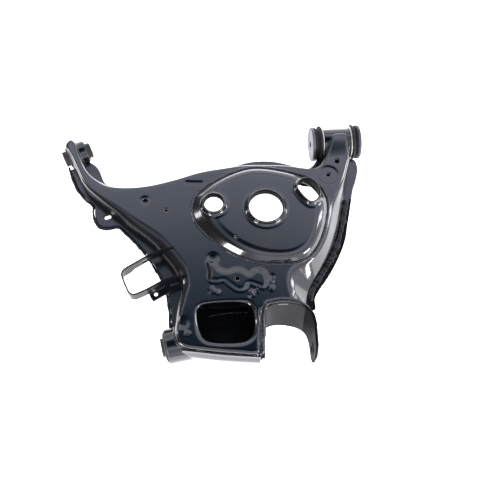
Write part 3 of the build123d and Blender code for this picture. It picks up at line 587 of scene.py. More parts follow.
def make_lower():
    g = Field((-530, -434, -48), (46, 36, 0), (H, H, 1.3))
    dFU, dFL, dLO = sdf2(FUs, g.X, g.Y), sdf2(FLs, g.X, g.Y), sdf2(LOs, g.X, g.Y)
    zb = np.full(g.X.shape, Z_BOTTOM)
    zb = zb + 18.0 * sstep(-385, -470, g.X) * (g.Y > -200)
    zb = zb + 14.0 * sstep(-116, -42, g.Y) * sstep(-66, -50, g.X)
    # pressed beads in the floor
    for line, w, dz in [([(-432, -112), (-372, -140), (-318, -150)], 9, 3.0), ([(-290, -215), (-262, -262), (-250, -300)], 8, 2.6),
                        ([(-112, -278), (-150, -292), (-205, -288)], 8, 2.6), ([(-6, -112), (-22, -160)], 6, 2.0)]:
        zb = zb + dz * sstep(w, w * 0.35, sdf2(resample(line, 4, closed=False), g.X, g.Y, closed=False))
    zb = zb + 2.4 * sstep(14.0, 9.0, np.abs(dLO - 0.0))
    zb = zb + 2.0 * sstep(5, -1, sdf2([(-298, -375), (-298, -345), (-200, -345), (-190, -390), (-270, -385)], g.X, g.Y))
    gx, gy = np.gradient(zb, g.h[0], g.h[1])
    bot = (zb[:, :, None] - g.Z3) / np.sqrt(1 + gx ** 2 + gy ** 2)[:, :, None]
    v = np.clip((-4.5 - g.Z3) / 39.5, -0.2, 1.2)
    wall = dFU[:, :, None] + 1.0 + 5.0 * v
    G = rmax(bot, wall, 9.0)
    sheet = np.maximum(G, -(G + SHEET))
    sheet = np.maximum(sheet, g.Z3 - Z_SEAM)
    fl = np.maximum(np.abs(g.Z3 + 5.75) - 1.75, np.maximum(dFL, -(dFU + 3.0))[:, :, None])
    sheet = smin(sheet, fl, 4.0)
    sheet = np.maximum(sheet, np.abs(g.Z3 + 24) - 20.0)
    sheet = np.maximum(sheet, -np.maximum(dLO[:, :, None], g.Z3 + 20))
    # slotted hole in the lug
    a = math.radians(15)
    sx = (g.X + 439.4) * math.cos(a) + (g.Y + 128.5) * math.sin(a)
    sy = -(g.X + 439.4) * math.sin(a) + (g.Y + 128.5) * math.cos(a)
    slot = np.hypot(np.maximum(np.abs(sx) - 2.8, 0), sy) - 3.3
    sheet = np.maximum(sheet, -slot[:, :, None])
    for x, y, r in [(-368.2, -96.0, 6.0), (-300.0, -262.0, 7.0), (-90.0, -275.0, 6.0)]:
        sheet = np.maximum(sheet, (r - np.hypot(g.X - x, g.Y - y))[:, :, None])
    sheet = tube_cut(g, sheet)
    ob = g.mesh("lower_shell_pressing", sheet, keep=0.5)
    dress(ob, PAINT_DARK, "arm", [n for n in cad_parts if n.startswith("lower_shell")])
    # Painted shade: faces inside the lower shell's hollow, and the upward faces at the right of the neck, get the matt
    # low-reflection paint.
    return shade_coat(ob, lambda c: ((c[:, 2] < -8.5) & (sdf2(FUs, c[:, 0], c[:, 1]) < -3.0))
                       | ((c[:, 2] > -8.5) & (c[:, 0] > -100) & (c[:, 1] < -122)))


def make_seat():
    h = 1.25
    g = Field((-292, -262, 25), (-28, -52, 57), (h, h, 1.1))
    dS, dT = sdf2(SEATs, g.X, g.Y), sdf2(SEATTs, g.X, g.Y)
    u = np.clip((g.Z3 - 27.0) / 17.0, -0.1, 1.3)
    k = dT - dS
    wall = dS[:, :, None] + k[:, :, None] * u
    wall = wall / np.sqrt(1 + (k / 17.0) ** 2)[:, :, None]
    top = g.Z3 - Z_SEAT
    G = rmax(np.broadcast_to(top, wall.shape), wall, 8.0)
    sheet = np.maximum(G, -(G + SHEET))
    sheet = np.maximum(sheet, 27.0 - g.Z3)
    holes = [(np.hypot(g.X - BIG_C[0], g.Y - BIG_C[1]) - BIG_R, 9.0, 3.3), (np.hypot(g.X - LEFT_C[0], g.Y - LEFT_C[1]) - LEFT_R, 8.0, 3.3),
             (sdf2(PEARs, g.X, g.Y), 8.0, 3.3)]
    for d, hh, t in holes:
        d = d[:, :, None]
        zc = (Z_SEAT + hh + 39.0) / 2
        ring = rmax(np.abs(d - t / 2) - t / 2, np.abs(g.Z3 - zc) - (Z_SEAT + hh - 39.0) / 2, 1.6)
        ring = np.maximum(ring, 40.5 - g.Z3)
        sheet = smin(sheet, ring, 9.0)
        sheet = np.maximum(sheet, -d)
    sheet = np.maximum(sheet, 27.0 - g.Z3)
    dd = np.hypot(g.X + 211, g.Y + 205.5)[:, :, None]
    sheet = np.maximum(sheet, -np.maximum(dd - 3.0, 42.0 - g.Z3))
    ob = g.mesh("spring_seat_dish", sheet, keep=0.6)
    dress(ob, PAINT, "arm", ["spring_seat"])
    # Painted shade: the inner walls of the collar holes get the matt low-reflection paint.
    return shade_coat(ob, lambda c: np.minimum(np.minimum(np.hypot(c[:, 0] - BIG_C[0], c[:, 1] - BIG_C[1]) - BIG_R,
                                                           np.hypot(c[:, 0] - LEFT_C[0], c[:, 1] - LEFT_C[1]) - LEFT_R),
                                                sdf2(PEARs, c[:, 0], c[:, 1])) < 0.9)


def make_fork():
    h = 1.25
    g = Field((-180, -430, -48), (-78, -318, 34), (h, h, h))
    ft, fb = resample(FORK_TOP, 3, closed=False), resample(FORK_BOT, 3, closed=False)
    dT, dB = sdf2(ft, g.X, g.Y, closed=False), sdf2(fb, g.X, g.Y, closed=False)
    # signed side distances keep the blend between the two lines even
    def side(pts, d):
        c = np.vstack([pts, [(-92.0, -470.0)], [(-300.0, -470.0)], [(-300.0, -334.0)]])
        s = sdf2(c, g.X, g.Y)
        return np.where(s < 0, -d, d)
    sT, sB = side(ft, dT), side(fb, dB)

    def sT_in(c):
        """Positive on the inner side of the bracket's middle surface."""
        loop = np.vstack([ft, [(-92.0, -470.0)], [(-300.0, -470.0)], [(-300.0, -334.0)]])
        loop2 = np.vstack([fb, [(-92.0, -470.0)], [(-300.0, -470.0)], [(-300.0, -334.0)]])
        uu = np.clip((c[:, 2] + 44.0) / 72.0, 0, 1)
        return -((1 - uu) * sdf2(loop2, c[:, 0], c[:, 1]) + uu * sdf2(loop, c[:, 0], c[:, 1]))
    u = np.clip((g.Z3 + 44.0) / 72.0, 0, 1)
    mid = sB[:, :, None] + (sT - sB)[:, :, None] * u
    lean = (sT - sB) / 72.0
    mid = mid / np.sqrt(1 + lean ** 2)[:, :, None]
    sheet = np.abs(mid) - 2.5
    sheet = rmax(sheet, np.abs(g.Z3 + 8.0) - 36.0, 1.2)
    ear = sdf2([(-300, -44), (-404, -44), (-412, -41), (-420, -33), (-424, -22), (-424.5, -8), (-421, 6), (-415, 17), (-406, 28), (-300, 28)],
               *np.meshgrid(g.y, g.z, indexing="ij"))[None, :, :]
    sheet = rmax(sheet, ear, 1.0)
    # end of the web at the box
    sheet = np.maximum(sheet, (-171.5 + 4.0 * (28 - g.Z3) / 72.0) - g.X3 + 0 * g.Y3)
    bolt = np.hypot(g.Y3 - FORK_Y, g.Z3 - FORK_Z)
    boss = rmax(np.abs(g.X3 + 92.6) - 2.2, bolt - 12.5, 0.8)
    sheet = smin(sheet, boss, 1.5)
    sheet = np.maximum(sheet, 6.5 - bolt)
    ob = g.mesh("fork_bracket_pressing", sheet, keep=0.6)
    # Painted shade: the whole fork gets the low-reflection copy of the paint, and its inner faces near the ear get the
    # matt one.
    dress(ob, PAINT_SHADE, "arm", ["fork_bracket"])
    return shade_coat(ob, lambda c: c[:, 0] > -103.0, lambda c: sT_in(c) > 0)


# ---------------------------------------------------------------- generic mesh makers
def add_mesh(name, verts, faces, smooth=True, auto=None):
    me = bpy.data.meshes.new(name)
    me.from_pydata([tuple(float(c) / 1000.0 for c in v) for v in verts], [], faces)
    me.update()
    if smooth:
        me.polygons.foreach_set("use_smooth", [True] * len(me.polygons))
    ob = bpy.data.objects.new(name, me)
    bpy.context.collection.objects.link(ob)
    if auto is not None:
        me.set_sharp_from_angle(angle=math.radians(auto))
    return ob


def frame_of(ax):
    a = Vector(ax).normalized()
    up = Vector((0, 0, 1)) if abs(a.z) < 0.9 else Vector((0, 1, 0))
    s = up.cross(a).normalized()
    return a, s, a.cross(s).normalized()


def lathe(name, profile, c, ax, n=96, round_r=0.5, seg=3, auto=35):
    """Closed profile of (t, r) turned round an axis; its corners are rounded."""
    a, s, w = frame_of(ax)
    P = np.array(profile, float)
    m = len(P)
    out = []
    for i in range(m):
        p0, p1, p2 = P[i - 1], P[i], P[(i + 1) % m]
        d0, d1 = p0 - p1, p2 - p1
        l0, l1 = np.linalg.norm(d0), np.linalg.norm(d1)
        r = min(round_r, l0 * 0.45, l1 * 0.45)
        q0, q1 = p1 + d0 / l0 * r, p1 + d1 / l1 * r
        for k in range(seg + 1):
            t = k / seg
            out.append((1 - t) ** 2 * q0 + 2 * t * (1 - t) * p1 + t ** 2 * q1)
    out = np.array(out)
    k = len(out)
    verts, faces = [], []
    c = Vector(c)
    for j in range(n):
        th = 2 * math.pi * j / n
        d = s * math.cos(th) + w * math.sin(th)
        for t, r in out:
            verts.append(c + a * t + d * r)
    area = sum(out[i - 1][0] * out[i][1] - out[i][0] * out[i - 1][1] for i in range(k))
    for j in range(n):
        j2 = (j + 1) % n
        for i in range(k):
            i2 = (i + 1) % k
            f = (j * k + i, j2 * k + i, j2 * k + i2, j * k + i2)
            faces.append(f if area < 0 else f[::-1])
    return add_mesh(name, verts, faces, auto=auto)


def bead(name, path, r, up=(0, 0, 1), closed=False, seed=1, period=3.4, flat=0.62, rough=0.16, wide=1.15, step=0.9,
         ripple=0.05, radii=None):
    """A rippled weld bead swept along a 3D path."""
    if radii is not None:
        q = resample(np.hstack([np.array(path, float), np.array(radii, float)[:, None]]), step, closed=closed)
        P, r = q[:, :3], q[:, 3]
    else:
        P = resample(path, step, closed=closed, smooth=len(path) > 2 and len(path) < 400)
        r = np.full(len(P), float(r))
    n = len(P)
    rs = np.random.RandomState(seed)

    def noise(scale, amp):
        k = max(4, int(n * step / scale))
        v = rs.uniform(-1, 1, k + 1)
        if closed:
            v[-1] = v[0]
        x = np.linspace(0, k, n)
        i = np.minimum(x.astype(int), k - 1)
        f = x - i
        f = f * f * (3 - 2 * f)
        return amp * (v[i] * (1 - f) + v[i + 1] * f)
    T = np.roll(P, -1, 0) - np.roll(P, 1, 0)
    if not closed:
        T[0], T[-1] = P[1] - P[0], P[-1] - P[-2]
    T /= np.linalg.norm(T, axis=1)[:, None]
    U = np.tile(np.array(up, float), (n, 1)) if np.ndim(up) == 1 else np.array(up)
    S = np.cross(T, U)
    S /= np.linalg.norm(S, axis=1)[:, None]
    U = np.cross(S, T)
    s = np.arange(n) * step
    ph = np.cumsum(1 + noise(6, 0.35)) * step * 2 * np.pi / period
    rad = r * (1 + ripple * np.cos(ph) + noise(9, rough) + noise(3.2, rough * 0.6))
    wob = noise(9, 0.22) * r
    hgt = noise(11, 0.12) * r
    m = 12
    verts, faces = [], []
    if not closed:
        e = np.minimum(1, np.minimum(s + 0.3, s[-1] - s + 0.3) / (r * 1.2 + 0.2))
        rad = rad * np.sqrt(np.clip(e, 0.05, 1))
    for i in range(n):
        for j in range(m):
            th = 2 * math.pi * j / m
            jit = 1 + 0.035 * rs.uniform(-1, 1)
            lag = 0.55 * r[i] * (math.sin(th) if math.sin(th) > 0 else 0)
            verts.append(P[i] + S[i] * (wob[i] + wide * rad[i] * jit * math.cos(th)) + U[i] * (hgt[i] + flat * rad[i] * jit * math.sin(th)) - T[i] * lag * 0.5)
    loops = n if closed else n - 1
    for i in range(loops):
        i2 = (i + 1) % n
        for j in range(m):
            j2 = (j + 1) % m
            faces.append((i * m + j, i2 * m + j, i2 * m + j2, i * m + j2))
    if not closed:
        faces.append(tuple(range(m)))
        faces.append(tuple((n - 1) * m + j for j in range(m))[::-1])
    return verts, faces


def bead_group(name, beads, nodes, body="arm", mat=None):
    V, F = [], []
    for v, f in beads:
        o = len(V)
        V += v
        F += [tuple(i + o for i in q) for q in f]
    ob = add_mesh(name, V, F)
    return dress(ob, mat or WELD, body, nodes)


def lift(pts, z):
    return [(x, y, z) for x, y in pts]


def offset_line(pts, d, closed=False):
    """Offset to the left of travel by d."""
    p = np.array(pts, float)
    t = np.roll(p, -1, 0) - np.roll(p, 1, 0)
    if not closed:
        t[0], t[-1] = p[1] - p[0], p[-1] - p[-2]
    t /= np.linalg.norm(t, axis=1)[:, None]
    return [(a[0] - b[1] * d, a[1] + b[0] * d) for a, b in zip(p, t)]


def shade_coat(ob, *tests, mat=None):
    """Second, matt material: a low-reflection copy of the paint, as painted shade, on the faces that pass the tests and
    don't face down; by default the faces that look into the hollow section.
    """
    me = ob.data
    me.materials.append(mat or PAINT_HOLLOW_SHADE)
    n = len(me.polygons)
    c, nm = np.empty(n * 3), np.empty(n * 3)
    me.polygons.foreach_get("center", c)
    me.polygons.foreach_get("normal", nm)
    c, nm = c.reshape(-1, 3) * 1000.0, nm.reshape(-1, 3)
    m = nm[:, 2] > -0.3
    for t in tests:
        m &= t(c)
    me.polygons.foreach_set("material_index", m.astype(np.int32))
    me.update()
    return ob


# ---------------------------------------------------------------- build the pressings
make_upper()
make_lower()
make_seat()
make_fork()


def plate_field(name, line, thick, z0, z1, lo, hi, h, mat, node, side=1, holes=None, r=0.9, roll=0.0, wavy=0.0):
    """A plate standing on edge beside a line in plan, with rounded edges."""
    g = Field(lo, hi, h)
    L = np.array(line, float)
    d = sdf2(L, g.X, g.Y, closed=False)
    best, sg, along = np.full(g.X.shape, 1e9), np.ones(g.X.shape), np.zeros(g.X.shape)
    s0 = 0.0
    for i in range(len(L) - 1):
        e = L[i + 1] - L[i]
        ln = np.hypot(*e)
        t = ((g.X - L[i][0]) * e[0] + (g.Y - L[i][1]) * e[1]) / ln
        c = ((g.X - L[i][0]) * e[1] - (g.Y - L[i][1]) * e[0]) / ln
        tc = np.clip(t, 0, ln)
        dd = np.hypot(t - tc, c)
        m = dd < best - 1e-9
        best, sg, along = np.where(m, dd, best), np.where(m, c, sg), np.where(m, s0 + (t if i in (0, len(L) - 2) else tc), along)
        s0 += ln
    u = (sg * side)[:, :, None] + roll * sstep(z1 - 20, z1, g.Z3)
    zb = (z0 + wavy * (np.sin(along * 0.11) + 0.6 * np.sin(along * 0.31 + 1)))[:, :, None]
    F = rmax(np.abs(u - thick / 2) - thick / 2, np.maximum(g.Z3 - z1, zb - g.Z3), r)
    F = rmax(F, (np.abs(along - s0 / 2) - s0 / 2)[:, :, None], r)
    if holes:
        for y, z, rr in holes:
            F = np.maximum(F, rr - np.hypot(g.Y3 - y, g.Z3 - z))
    return dress(g.mesh(name, F), mat, "arm", [node])


front = resample(FRONT_EDGE, 3.0, closed=False)
plate_field("box_front_cover", front, 3.0, -42.0, 21.5, (-324, -426, -46), (-182, -390, 25), 1.0,
            PAINT, "box_front_plate", roll=5.0, wavy=0.9)
plate_field("fork_inner_plate", INNER_EAR[::-1], 5.2, -41.0, 21.5, (-190, -424, -44), (-164, -344, 25), 1.0,
            PAINT, "fork_inner_ear", side=-1, holes=[(FORK_Y, FORK_Z, 6.5)])


def make_strap():
    h = 0.9
    g = Field((-422, -304, 0), (-296, -204, 36), (h, h, h))
    line = resample(STRAP, 3.0, closed=False, smooth=False)
    # round the bends
    for _ in range(10):
        line[1:-1] = 0.5 * line[1:-1] + 0.25 * (line[:-2] + line[2:])
    d = sdf2(line, g.X, g.Y, closed=False)
    best, s = np.full(g.X.shape, 1e9), np.zeros(g.X.shape)
    acc = 0.0
    for i in range(len(line) - 1):
        a, b = line[i], line[i + 1]
        e = b - a
        l2 = e @ e
        t = np.clip(((g.X - a[0]) * e[0] + (g.Y - a[1]) * e[1]) / l2, 0, 1)
        dd = np.hypot(g.X - a[0] - t * e[0], g.Y - a[1] - t * e[1])
        m = dd < best
        best, s = np.where(m, dd, best), np.where(m, acc + t * math.sqrt(l2), s)
        acc += math.sqrt(l2)
    low = 2.5 + 6.0 * sstep(18, 30, s) * sstep(86, 74, s) + 4.0 * sstep(92, 100, s) * sstep(acc - 34, acc - 44, s)
    high = 32.5 - 2.0 * sstep(acc - 22, acc - 4, s)
    F = rmax(np.broadcast_to((d - 1.4)[:, :, None], (len(g.x), len(g.y), len(g.z))), g.Z3 - high[:, :, None], 0.6)
    F = rmax(F, low[:, :, None] - g.Z3, 0.6)
    ux, uy = 0.882, 0.472
    a = np.abs((g.X + 372.0) * ux + (g.Y + 227.7) * uy)
    slot = np.hypot(np.maximum(a[:, :, None] - 4.0, 0), g.Z3 - 18.0) - 3.0
    near = np.abs((g.X + 372.0) * uy - (g.Y + 227.7) * ux) < 9
    F = np.where(near[:, :, None], np.maximum(F, -slot), F)
    # Painted shade: the strap gets the low-reflection copy of the paint.
    return dress(g.mesh("strap_bracket_band", F), PAINT_SHADE, "arm", ["strap_bracket"])


def make_clip():
    g = Field((-376, -304, -7), (-326, -258, 3), (0.9, 0.9, 0.8))
    d = sdf2(resample(CLIP_LUG, 2.0, smooth=False), g.X, g.Y)
    F = rmax(np.broadcast_to(d[:, :, None], (len(g.x), len(g.y), len(g.z))), np.abs(g.Z3 + 2.0) - 2.0, 0.7)
    F = np.maximum(F, (3.3 - np.hypot(g.X + 357, g.Y + 286))[:, :, None])
    return dress(g.mesh("clip_lug_tab", F), PAINT, "arm", ["clip_lug"])


make_strap()
make_clip()

# ---------------------------------------------------------------- bushes
AXX = (1, 0, 0)
O3 = (0, 0, 0)


def part(name, prof, c, ax, mat, body, node, r=0.5, n=96, auto=35):
    return dress(lathe(name, prof, c, ax, n=n, round_r=r, auto=auto), mat, body, [node])


part("front_housing_tube", [(-25, 23), (-25, TUBE_VR), (27, TUBE_VR), (27, 23)], O3, AXX, PAINT, "arm", "front_bush_housing", 0.7)
part("front_sleeve_left", [(-27, 21), (-27, 32.5), (-25, 32.5), (-25, 23), (-2, 23), (-2, 21)], O3, AXX, PLATED, "arm", "front_bush_outer_sleeve_left", 0.5)
part("front_sleeve_right", [(29, 21), (29, 32.5), (27, 32.5), (27, 23), (4, 23), (4, 21)], O3, AXX, PLATED, "arm", "front_bush_outer_sleeve_right", 0.5)
part("front_rubber_left", [(-2, 11.05), (-2, 21), (-27, 21), (-27, 32.4), (-28.0, 34.0), (-30.0, 34.9), (-31.8, 34.2), (-32.8, 31.8), (-34.0, 30.2), (-35.4, 29.8),
                           (-36.8, 30.4), (-38.2, 31.9), (-39.6, 32.6), (-40.8, 32.2), (-41.2, 30.8), (-41.2, 11.05)], O3, AXX, RUBBER, "arm", "front_bush_rubber_left", 0.6)
part("front_rubber_right", [(4, 11.05), (4, 21), (29, 21), (29, 32.4), (30.0, 34.0), (32.0, 34.9), (33.6, 34.2), (34.5, 31.8), (35.4, 30.3), (36.6, 29.9),
                            (37.8, 30.6), (39.0, 32.0), (40.2, 32.5), (41.0, 32.0), (41.2, 30.6), (41.2, 11.05)], O3, AXX, RUBBER, "arm", "front_bush_rubber_right", 0.6)
part("front_core_sleeve", [(-41.5, 6.25), (-41.5, 11), (41.5, 11), (41.5, 6.25)], O3, AXX, SLEEVE, "front_bush_core", "front_bush_inner_sleeve", 0.5)
part("front_plate_left", [(-47.0, 7.0), (-47.0, 31.9), (-46.0, 33.0), (-42.6, 33.0), (-41.5, 32.0), (-41.5, 6.25), (-46.2, 6.25)], O3, AXX, FACE, "front_bush_core", "front_bush_end_plate_left", 0.7, n=128)
part("front_plate_right", [(47.0, 7.0), (47.0, 31.9), (46.0, 33.0), (42.6, 33.0), (41.5, 32.0), (41.5, 6.25), (46.2, 6.25)], O3, AXX, FACE, "front_bush_core", "front_bush_end_plate_right", 0.7, n=128)

RC, RA = tuple(REAR_C), tuple(REAR_AX)
part("rear_housing_tube", [(-16, 20.5), (-16, 23), (16, 23), (16, 20.5)], RC, RA, PAINT, "arm", "rear_bush_housing", 0.7)
part("rear_sleeve_ring", [(-17.5, 19), (-17.5, 20.5), (17.5, 20.5), (17.5, 19)], RC, RA, SLEEVE, "arm", "rear_bush_outer_sleeve", 0.4)
part("rear_rubber_ring", [(-19, 14.55), (-19, 17.6), (-17.6, 19), (17.6, 19), (19, 17.6), (19, 14.55)], RC, RA, RUBBER, "arm", "rear_bush_rubber", 0.8)
part("rear_core_sleeve", [(-27, 7.0), (-27, 13.6), (-26, 14.5), (26, 14.5), (27, 13.6), (27, 7.0), (26.2, 6.25), (-26.2, 6.25)], RC, RA, SLEEVE, "rear_bush_core", "rear_bush_inner_sleeve", 0.5)

KC, KA = tuple(KN_C), tuple(KN_AX)
part("knuckle_housing_tube", [(-22, 27.5), (-22, 31), (22, 31), (22, 27.5)], KC, KA, PAINT, "arm", "knuckle_bush_housing", 0.9)
part("knuckle_sleeve_ring", [(-23.5, 25.5), (-23.5, 27.5), (23.5, 27.5), (23.5, 25.5)], KC, KA, SLEEVE, "arm", "knuckle_bush_outer_sleeve", 0.5)
part("knuckle_rubber_ring", [(-26.5, 16.05), (-26.5, 20.0), (-25.2, 22.6), (-24.6, 25.5), (24.6, 25.5), (25.2, 22.6), (26.5, 20.0), (26.5, 16.05)], KC, KA, RUBBER, "arm", "knuckle_bush_rubber", 0.9)
part("knuckle_core_sleeve", [(-31, 7.9), (-31, 15.0), (-30, 16.0), (30, 16.0), (31, 15.0), (31, 7.9), (30.1, 7.0), (-30.1, 7.0)], KC, KA, SLEEVE, "knuckle_bush_core", "knuckle_bush_inner_sleeve", 0.5)


# ---------------------------------------------------------------- welds
def at_z(line, z):
    return [(p[0], p[1], z) for p in line]


seat_line = offset_line(resample(SEAT, 3.0), 1.0, closed=True)
area = sum(seat_line[i - 1][0] * seat_line[i][1] - seat_line[i][0] * seat_line[i - 1][1] for i in range(len(seat_line)))
if area > 0:
    seat_line = offset_line(resample(SEAT, 3.0), -1.0, closed=True)
bead_group("seat_weld_bead", [bead("a", at_z(seat_line, 28.4), 2.3, closed=True, seed=3, flat=0.55, wide=1.1, ripple=0.015, rough=0.12)], ["seat_weld"])


def shift_out(line, d):
    """Offset an open line away from the arm."""
    a = offset_line(line, d)
    b = offset_line(line, -d)
    X, Y = np.array(a)[:, 0], np.array(a)[:, 1]
    ina = (sdf2(FUs, X, Y) < 0).mean()
    return b if ina > 0.5 else a


def fu_run(i0, i1, out, z, r, seed, **k):
    ln = resample(FU[i0:i1 + 1], 3.0, closed=False)
    return bead("s", at_z(shift_out(ln, out), z), r, seed=seed, **k)


def fl_run(i0, i1, inn, z, r, seed, **k):
    ln = resample(FL[i0:i1 + 1], 3.0, closed=False)
    return bead("s", at_z(shift_out(ln, -inn), z), r, seed=seed, **k)


runs = [fl_run(0, 14, 2.2, -3.6, 2.2, 11, rough=0.22), fl_run(14, 21, 2.2, -3.6, 2.0, 12, rough=0.22),
        bead("s", [(-270, -321, -37.5), (-248, -318, -36.5), (-216, -317.5, -37), (-190, -319, -38)], 2.4, seed=19, flat=0.7, ripple=0.0, rough=0.4),
        fu_run(32, 43, 5.2, -3.9, 3.6, 13, wide=1.45, flat=0.36, ripple=0.0, rough=0.30),
        fu_run(51, 58, 2.2, -3.2, 2.8, 15), fu_run(58, 68, 2.0, -3.2, 2.8, 16)]
bead_group("seam_weld_bead", runs, ["seam_weld"], mat=WELD_DARK)

ft3 = [(-185.6, -414.5, 22.0, 3.6), (-184.0, -406.6, 23.6, 4.6), (-180.0, -374.0, 24.0, 4.7), (-177.0, -344.0, 24.6, 4.9),
       (-173.6, -332.2, 26.4, 4.9), (-164.8, -324.4, 27.4, 4.8), (-148.0, -321.2, 27.6, 4.6), (-128.0, -322.8, 27.4, 4.3),
       (-111.6, -328.4, 26.8, 3.6), (-99.5, -336.6, 26.0, 2.6), (-92.2, -346.8, 25.6, 1.8)]
bead_group("fork_weld_bead", [bead("f", [p[:3] for p in ft3], 0, radii=[p[3] for p in ft3], seed=21, wide=1.1, flat=0.62, rough=0.07,
                                   ripple=0.02)], ["fork_weld"])


def arc(c, ax, t, r, a0, a1, n=40):
    a, s, w = frame_of(ax)
    c = Vector(c)
    out, up = [], []
    for i in range(n + 1):
        th = math.radians(a0 + (a1 - a0) * i / n)
        d = s * math.cos(th) + w * math.sin(th)
        out.append(tuple(c + a * t + d * r))
        up.append(tuple(d))
    return out, up


def arc_bead(c, ax, t, r, a0, a1, rad, seed):
    p, _ = arc(c, ax, t, r, a0, a1)
    P = resample(p, 0.9, closed=False)
    a, s, w = frame_of(ax)
    ups = []
    for q in P:
        v = Vector(q) - Vector(c)
        v = v - a * v.dot(a)
        ups.append(tuple(v.normalized()))
    return bead("r", P, rad, up=ups, seed=seed, step=0.9)




def wall_field(x, y, z):
    """Signed distance in plan to the outside of the pressings at height z."""
    u = np.clip((Z_TOP - z) / 32.0, 0, 1)
    a, b = sdf2(PUs, x, y), sdf2(FUs, x, y)
    low = b + 1.0 + 5.0 * np.clip((-4.5 - z) / 39.5, 0, 1)
    return np.where(z > Z_SEAM, a + (b - a) * u, low)


def junction(c, ax, r, t0, t1, a0, a1, rad, seed, n=26):
    """Weld bead where a tube of radius r meets the side of the pressings, between t0 and t1 along it."""
    a, s_, w_ = frame_of(ax)
    pts, ups = [], []
    for i in range(n + 1):
        th = math.radians(a0 + (a1 - a0) * i / n)
        d = s_ * math.cos(th) + w_ * math.sin(th)
        t = np.linspace(t0, t1, 61)
        p = np.array([list(Vector(c) + a * float(k) + d * r) for k in t])
        f = wall_field(p[:, 0], p[:, 1], p[:, 2])
        sgn = np.where((f[:-1] < 0) != (f[1:] < 0))[0]
        if len(sgn) and p[0, 2] < Z_TOP - 1:
            k = sgn[0]
            q = p[k] + (p[k + 1] - p[k]) * f[k] / (f[k] - f[k + 1])
            pts.append(tuple(q))
    if len(pts) < 4:
        return None
    P = resample(pts, 0.9, closed=False)
    ups = []
    for q in P:
        v = Vector(q) - Vector(c)
        v = v - a * v.dot(a)
        ups.append(tuple(v.normalized()))
    return bead("r", P, rad, up=ups, seed=seed, step=0.9)


def joints_of(name, node, c, ax, r, spans, rad, seed):
    out = [junction(c, ax, r, t0, t1, a0, a1, rad, seed + k) for k, (t0, t1, a0, a1) in enumerate(spans)]
    out = [b for b in out if b]
    if not out:
        raise RuntimeError("no weld line on " + name)
    bead_group(name, out, [node])


joints_of("front_housing_bead", "front_housing_weld", O3, AXX, TUBE_VR, [(-25, 4, 0, 180), (27, 4, 0, 180), (-25, 4, 180, 360), (27, 4, 180, 360)], 2.0, 31)
joints_of("rear_housing_bead", "rear_housing_weld", RC, RA, 23.0, [(-16, 0, 0, 180), (16, 0, 0, 180), (-16, 0, 180, 360), (16, 0, 180, 360)], 2.0, 41)
joints_of("knuckle_housing_bead", "knuckle_housing_weld", KC, KA, 31.0, [(22, -22, 0, 180), (22, -22, 180, 360)], 2.2, 51)

# ---------------------------------------------------------------- CAD nodes that stay
for node, mat in (("box_cross_plate", PAINT_DARK), ("fork_weld_nut", PLATED)):
    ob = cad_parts[node]
    ob.data.materials.clear()
    ob.data.materials.append(mat)

# ---------------------------------------------------------------- floor, light, camera
CAM = Vector((-290.65, -704.32, 1161.99)) / 1000
RIGHT, UP, FWD = Vector((0.99547, -0.08709, 0.03820)), Vector((0.06416, 0.91153, 0.40619)), Vector((0.07019, 0.40190, -0.91299))

fm = bpy.data.materials.new("pale_floor")
fm.use_nodes = True
fb = fm.node_tree.nodes["Principled BSDF"]
fb.inputs["Base Color"].default_value = (0.86, 0.86, 0.86, 1)
fb.inputs["Roughness"].default_value = 0.9
fb.inputs["Specular IOR Level"].default_value = 0.1
fb.inputs["Emission Color"].default_value = (0.98, 0.97, 1.0, 1)
fb.inputs["Emission Strength"].default_value = 1.75
bpy.ops.mesh.primitive_plane_add(size=9, location=(-0.2, -0.2, -0.0445))
floor = bpy.context.object
floor.name = "floor"
floor.data.materials.append(fm)

w = bpy.data.worlds.new("studio")
bpy.context.scene.world = w
w.use_nodes = True
nt = w.node_tree
bg = nt.nodes["Background"]
tc = nt.nodes.new("ShaderNodeTexCoord")
sep = nt.nodes.new("ShaderNodeSeparateXYZ")
nt.links.new(tc.outputs["Generated"], sep.inputs["Vector"])
ramp = nt.nodes.new("ShaderNodeValToRGB")
cr = ramp.color_ramp
K = 1.35 / 2.6
cr.elements[0].position, cr.elements[0].color = 0.0, (0.8 * K, 0.8 * K, 0.9 * K, 1)
cr.elements[1].position, cr.elements[1].color = 1.0, (0.0, 0.005 * K, 0.015 * K, 1)
for p, c in ((0.20, (1.10, 1.10, 1.25)), (0.45, (0.95, 0.95, 1.08)), (0.65, (0.70, 0.70, 0.80)), (0.78, (0.95, 0.97, 1.15)),
             (0.85, (1.18, 1.26, 1.58)), (0.876, (0.85, 0.92, 1.12)), (0.898, (0.70, 0.75, 0.92)), (0.918, (0.42, 0.47, 0.60)),
             (0.938, (0.13, 0.24, 0.36)), (0.956, (0.0, 0.04, 0.08))):
    e = cr.elements.new(p)
    e.color = tuple(min(1.0, v * K) for v in c) + (1,)
nt.links.new(sep.outputs["Z"], ramp.inputs["Fac"])
nt.links.new(ramp.outputs["Color"], bg.inputs["Color"])
side = nt.nodes.new("ShaderNodeMapRange")
side.inputs["From Min"].default_value, side.inputs["From Max"].default_value = -0.60, -0.30
side.inputs["To Min"].default_value, side.inputs["To Max"].default_value = 0.35, 2.6
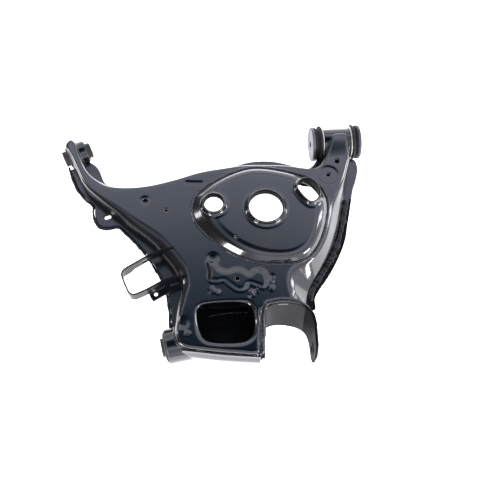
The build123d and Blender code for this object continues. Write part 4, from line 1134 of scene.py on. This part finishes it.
nt.links.new(sep.outputs["X"], side.inputs["Value"])
nt.links.new(side.outputs["Result"], bg.inputs["Strength"])
bg2 = nt.nodes.new("ShaderNodeBackground")
bg2.inputs["Color"].default_value = (0.97, 0.97, 0.98, 1)
bg2.inputs["Strength"].default_value = 1.05
lp = nt.nodes.new("ShaderNodeLightPath")
mx = nt.nodes.new("ShaderNodeMixShader")
nt.links.new(lp.outputs["Is Camera Ray"], mx.inputs["Fac"])
nt.links.new(bg.outputs["Background"], mx.inputs[1])
nt.links.new(bg2.outputs["Background"], mx.inputs[2])
nt.links.new(mx.outputs["Shader"], nt.nodes["World Output"].inputs["Surface"])


def area(name, loc, target, size, power, glossy=True, col=(1, 1, 1), sizey=None):
    l = bpy.data.lights.new(name, "AREA")
    l.shape = "RECTANGLE"
    l.size = size
    l.size_y = sizey or size
    l.energy = power
    l.color = col
    o = bpy.data.objects.new(name, l)
    bpy.context.collection.objects.link(o)
    o.location = loc
    d = Vector(target) - Vector(loc)
    o.rotation_euler = d.to_track_quat("-Z", "Y").to_euler()
    o.visible_glossy = glossy
    return o


T = (-0.22, -0.2, 0.0)
area("overhead", (-0.2, -0.2, 1.9), T, 2.6, 10, glossy=False)
area("front_left", (-1.5, -1.5, 0.55), T, 0.5, 14, sizey=0.35)
area("front_right", (1.3, -1.3, 0.40), T, 0.6, 16, sizey=0.35)
area("left_side", (-1.9, 0.3, 0.75), T, 0.25, 7, sizey=0.9)
area("right_side", (1.7, 0.3, 0.85), T, 0.25, 7, sizey=0.9)

cam = bpy.data.cameras.new("camera")
cam.lens = 52.5
cam.sensor_width = 36
cam.clip_start, cam.clip_end = 0.05, 30
co = bpy.data.objects.new("camera", cam)
bpy.context.collection.objects.link(co)
M = Matrix(((RIGHT.x, UP.x, -FWD.x, CAM.x), (RIGHT.y, UP.y, -FWD.y, CAM.y), (RIGHT.z, UP.z, -FWD.z, CAM.z), (0, 0, 0, 1)))
co.matrix_world = M
bpy.context.scene.camera = co
bpy.context.scene.view_settings.view_transform = "Standard"
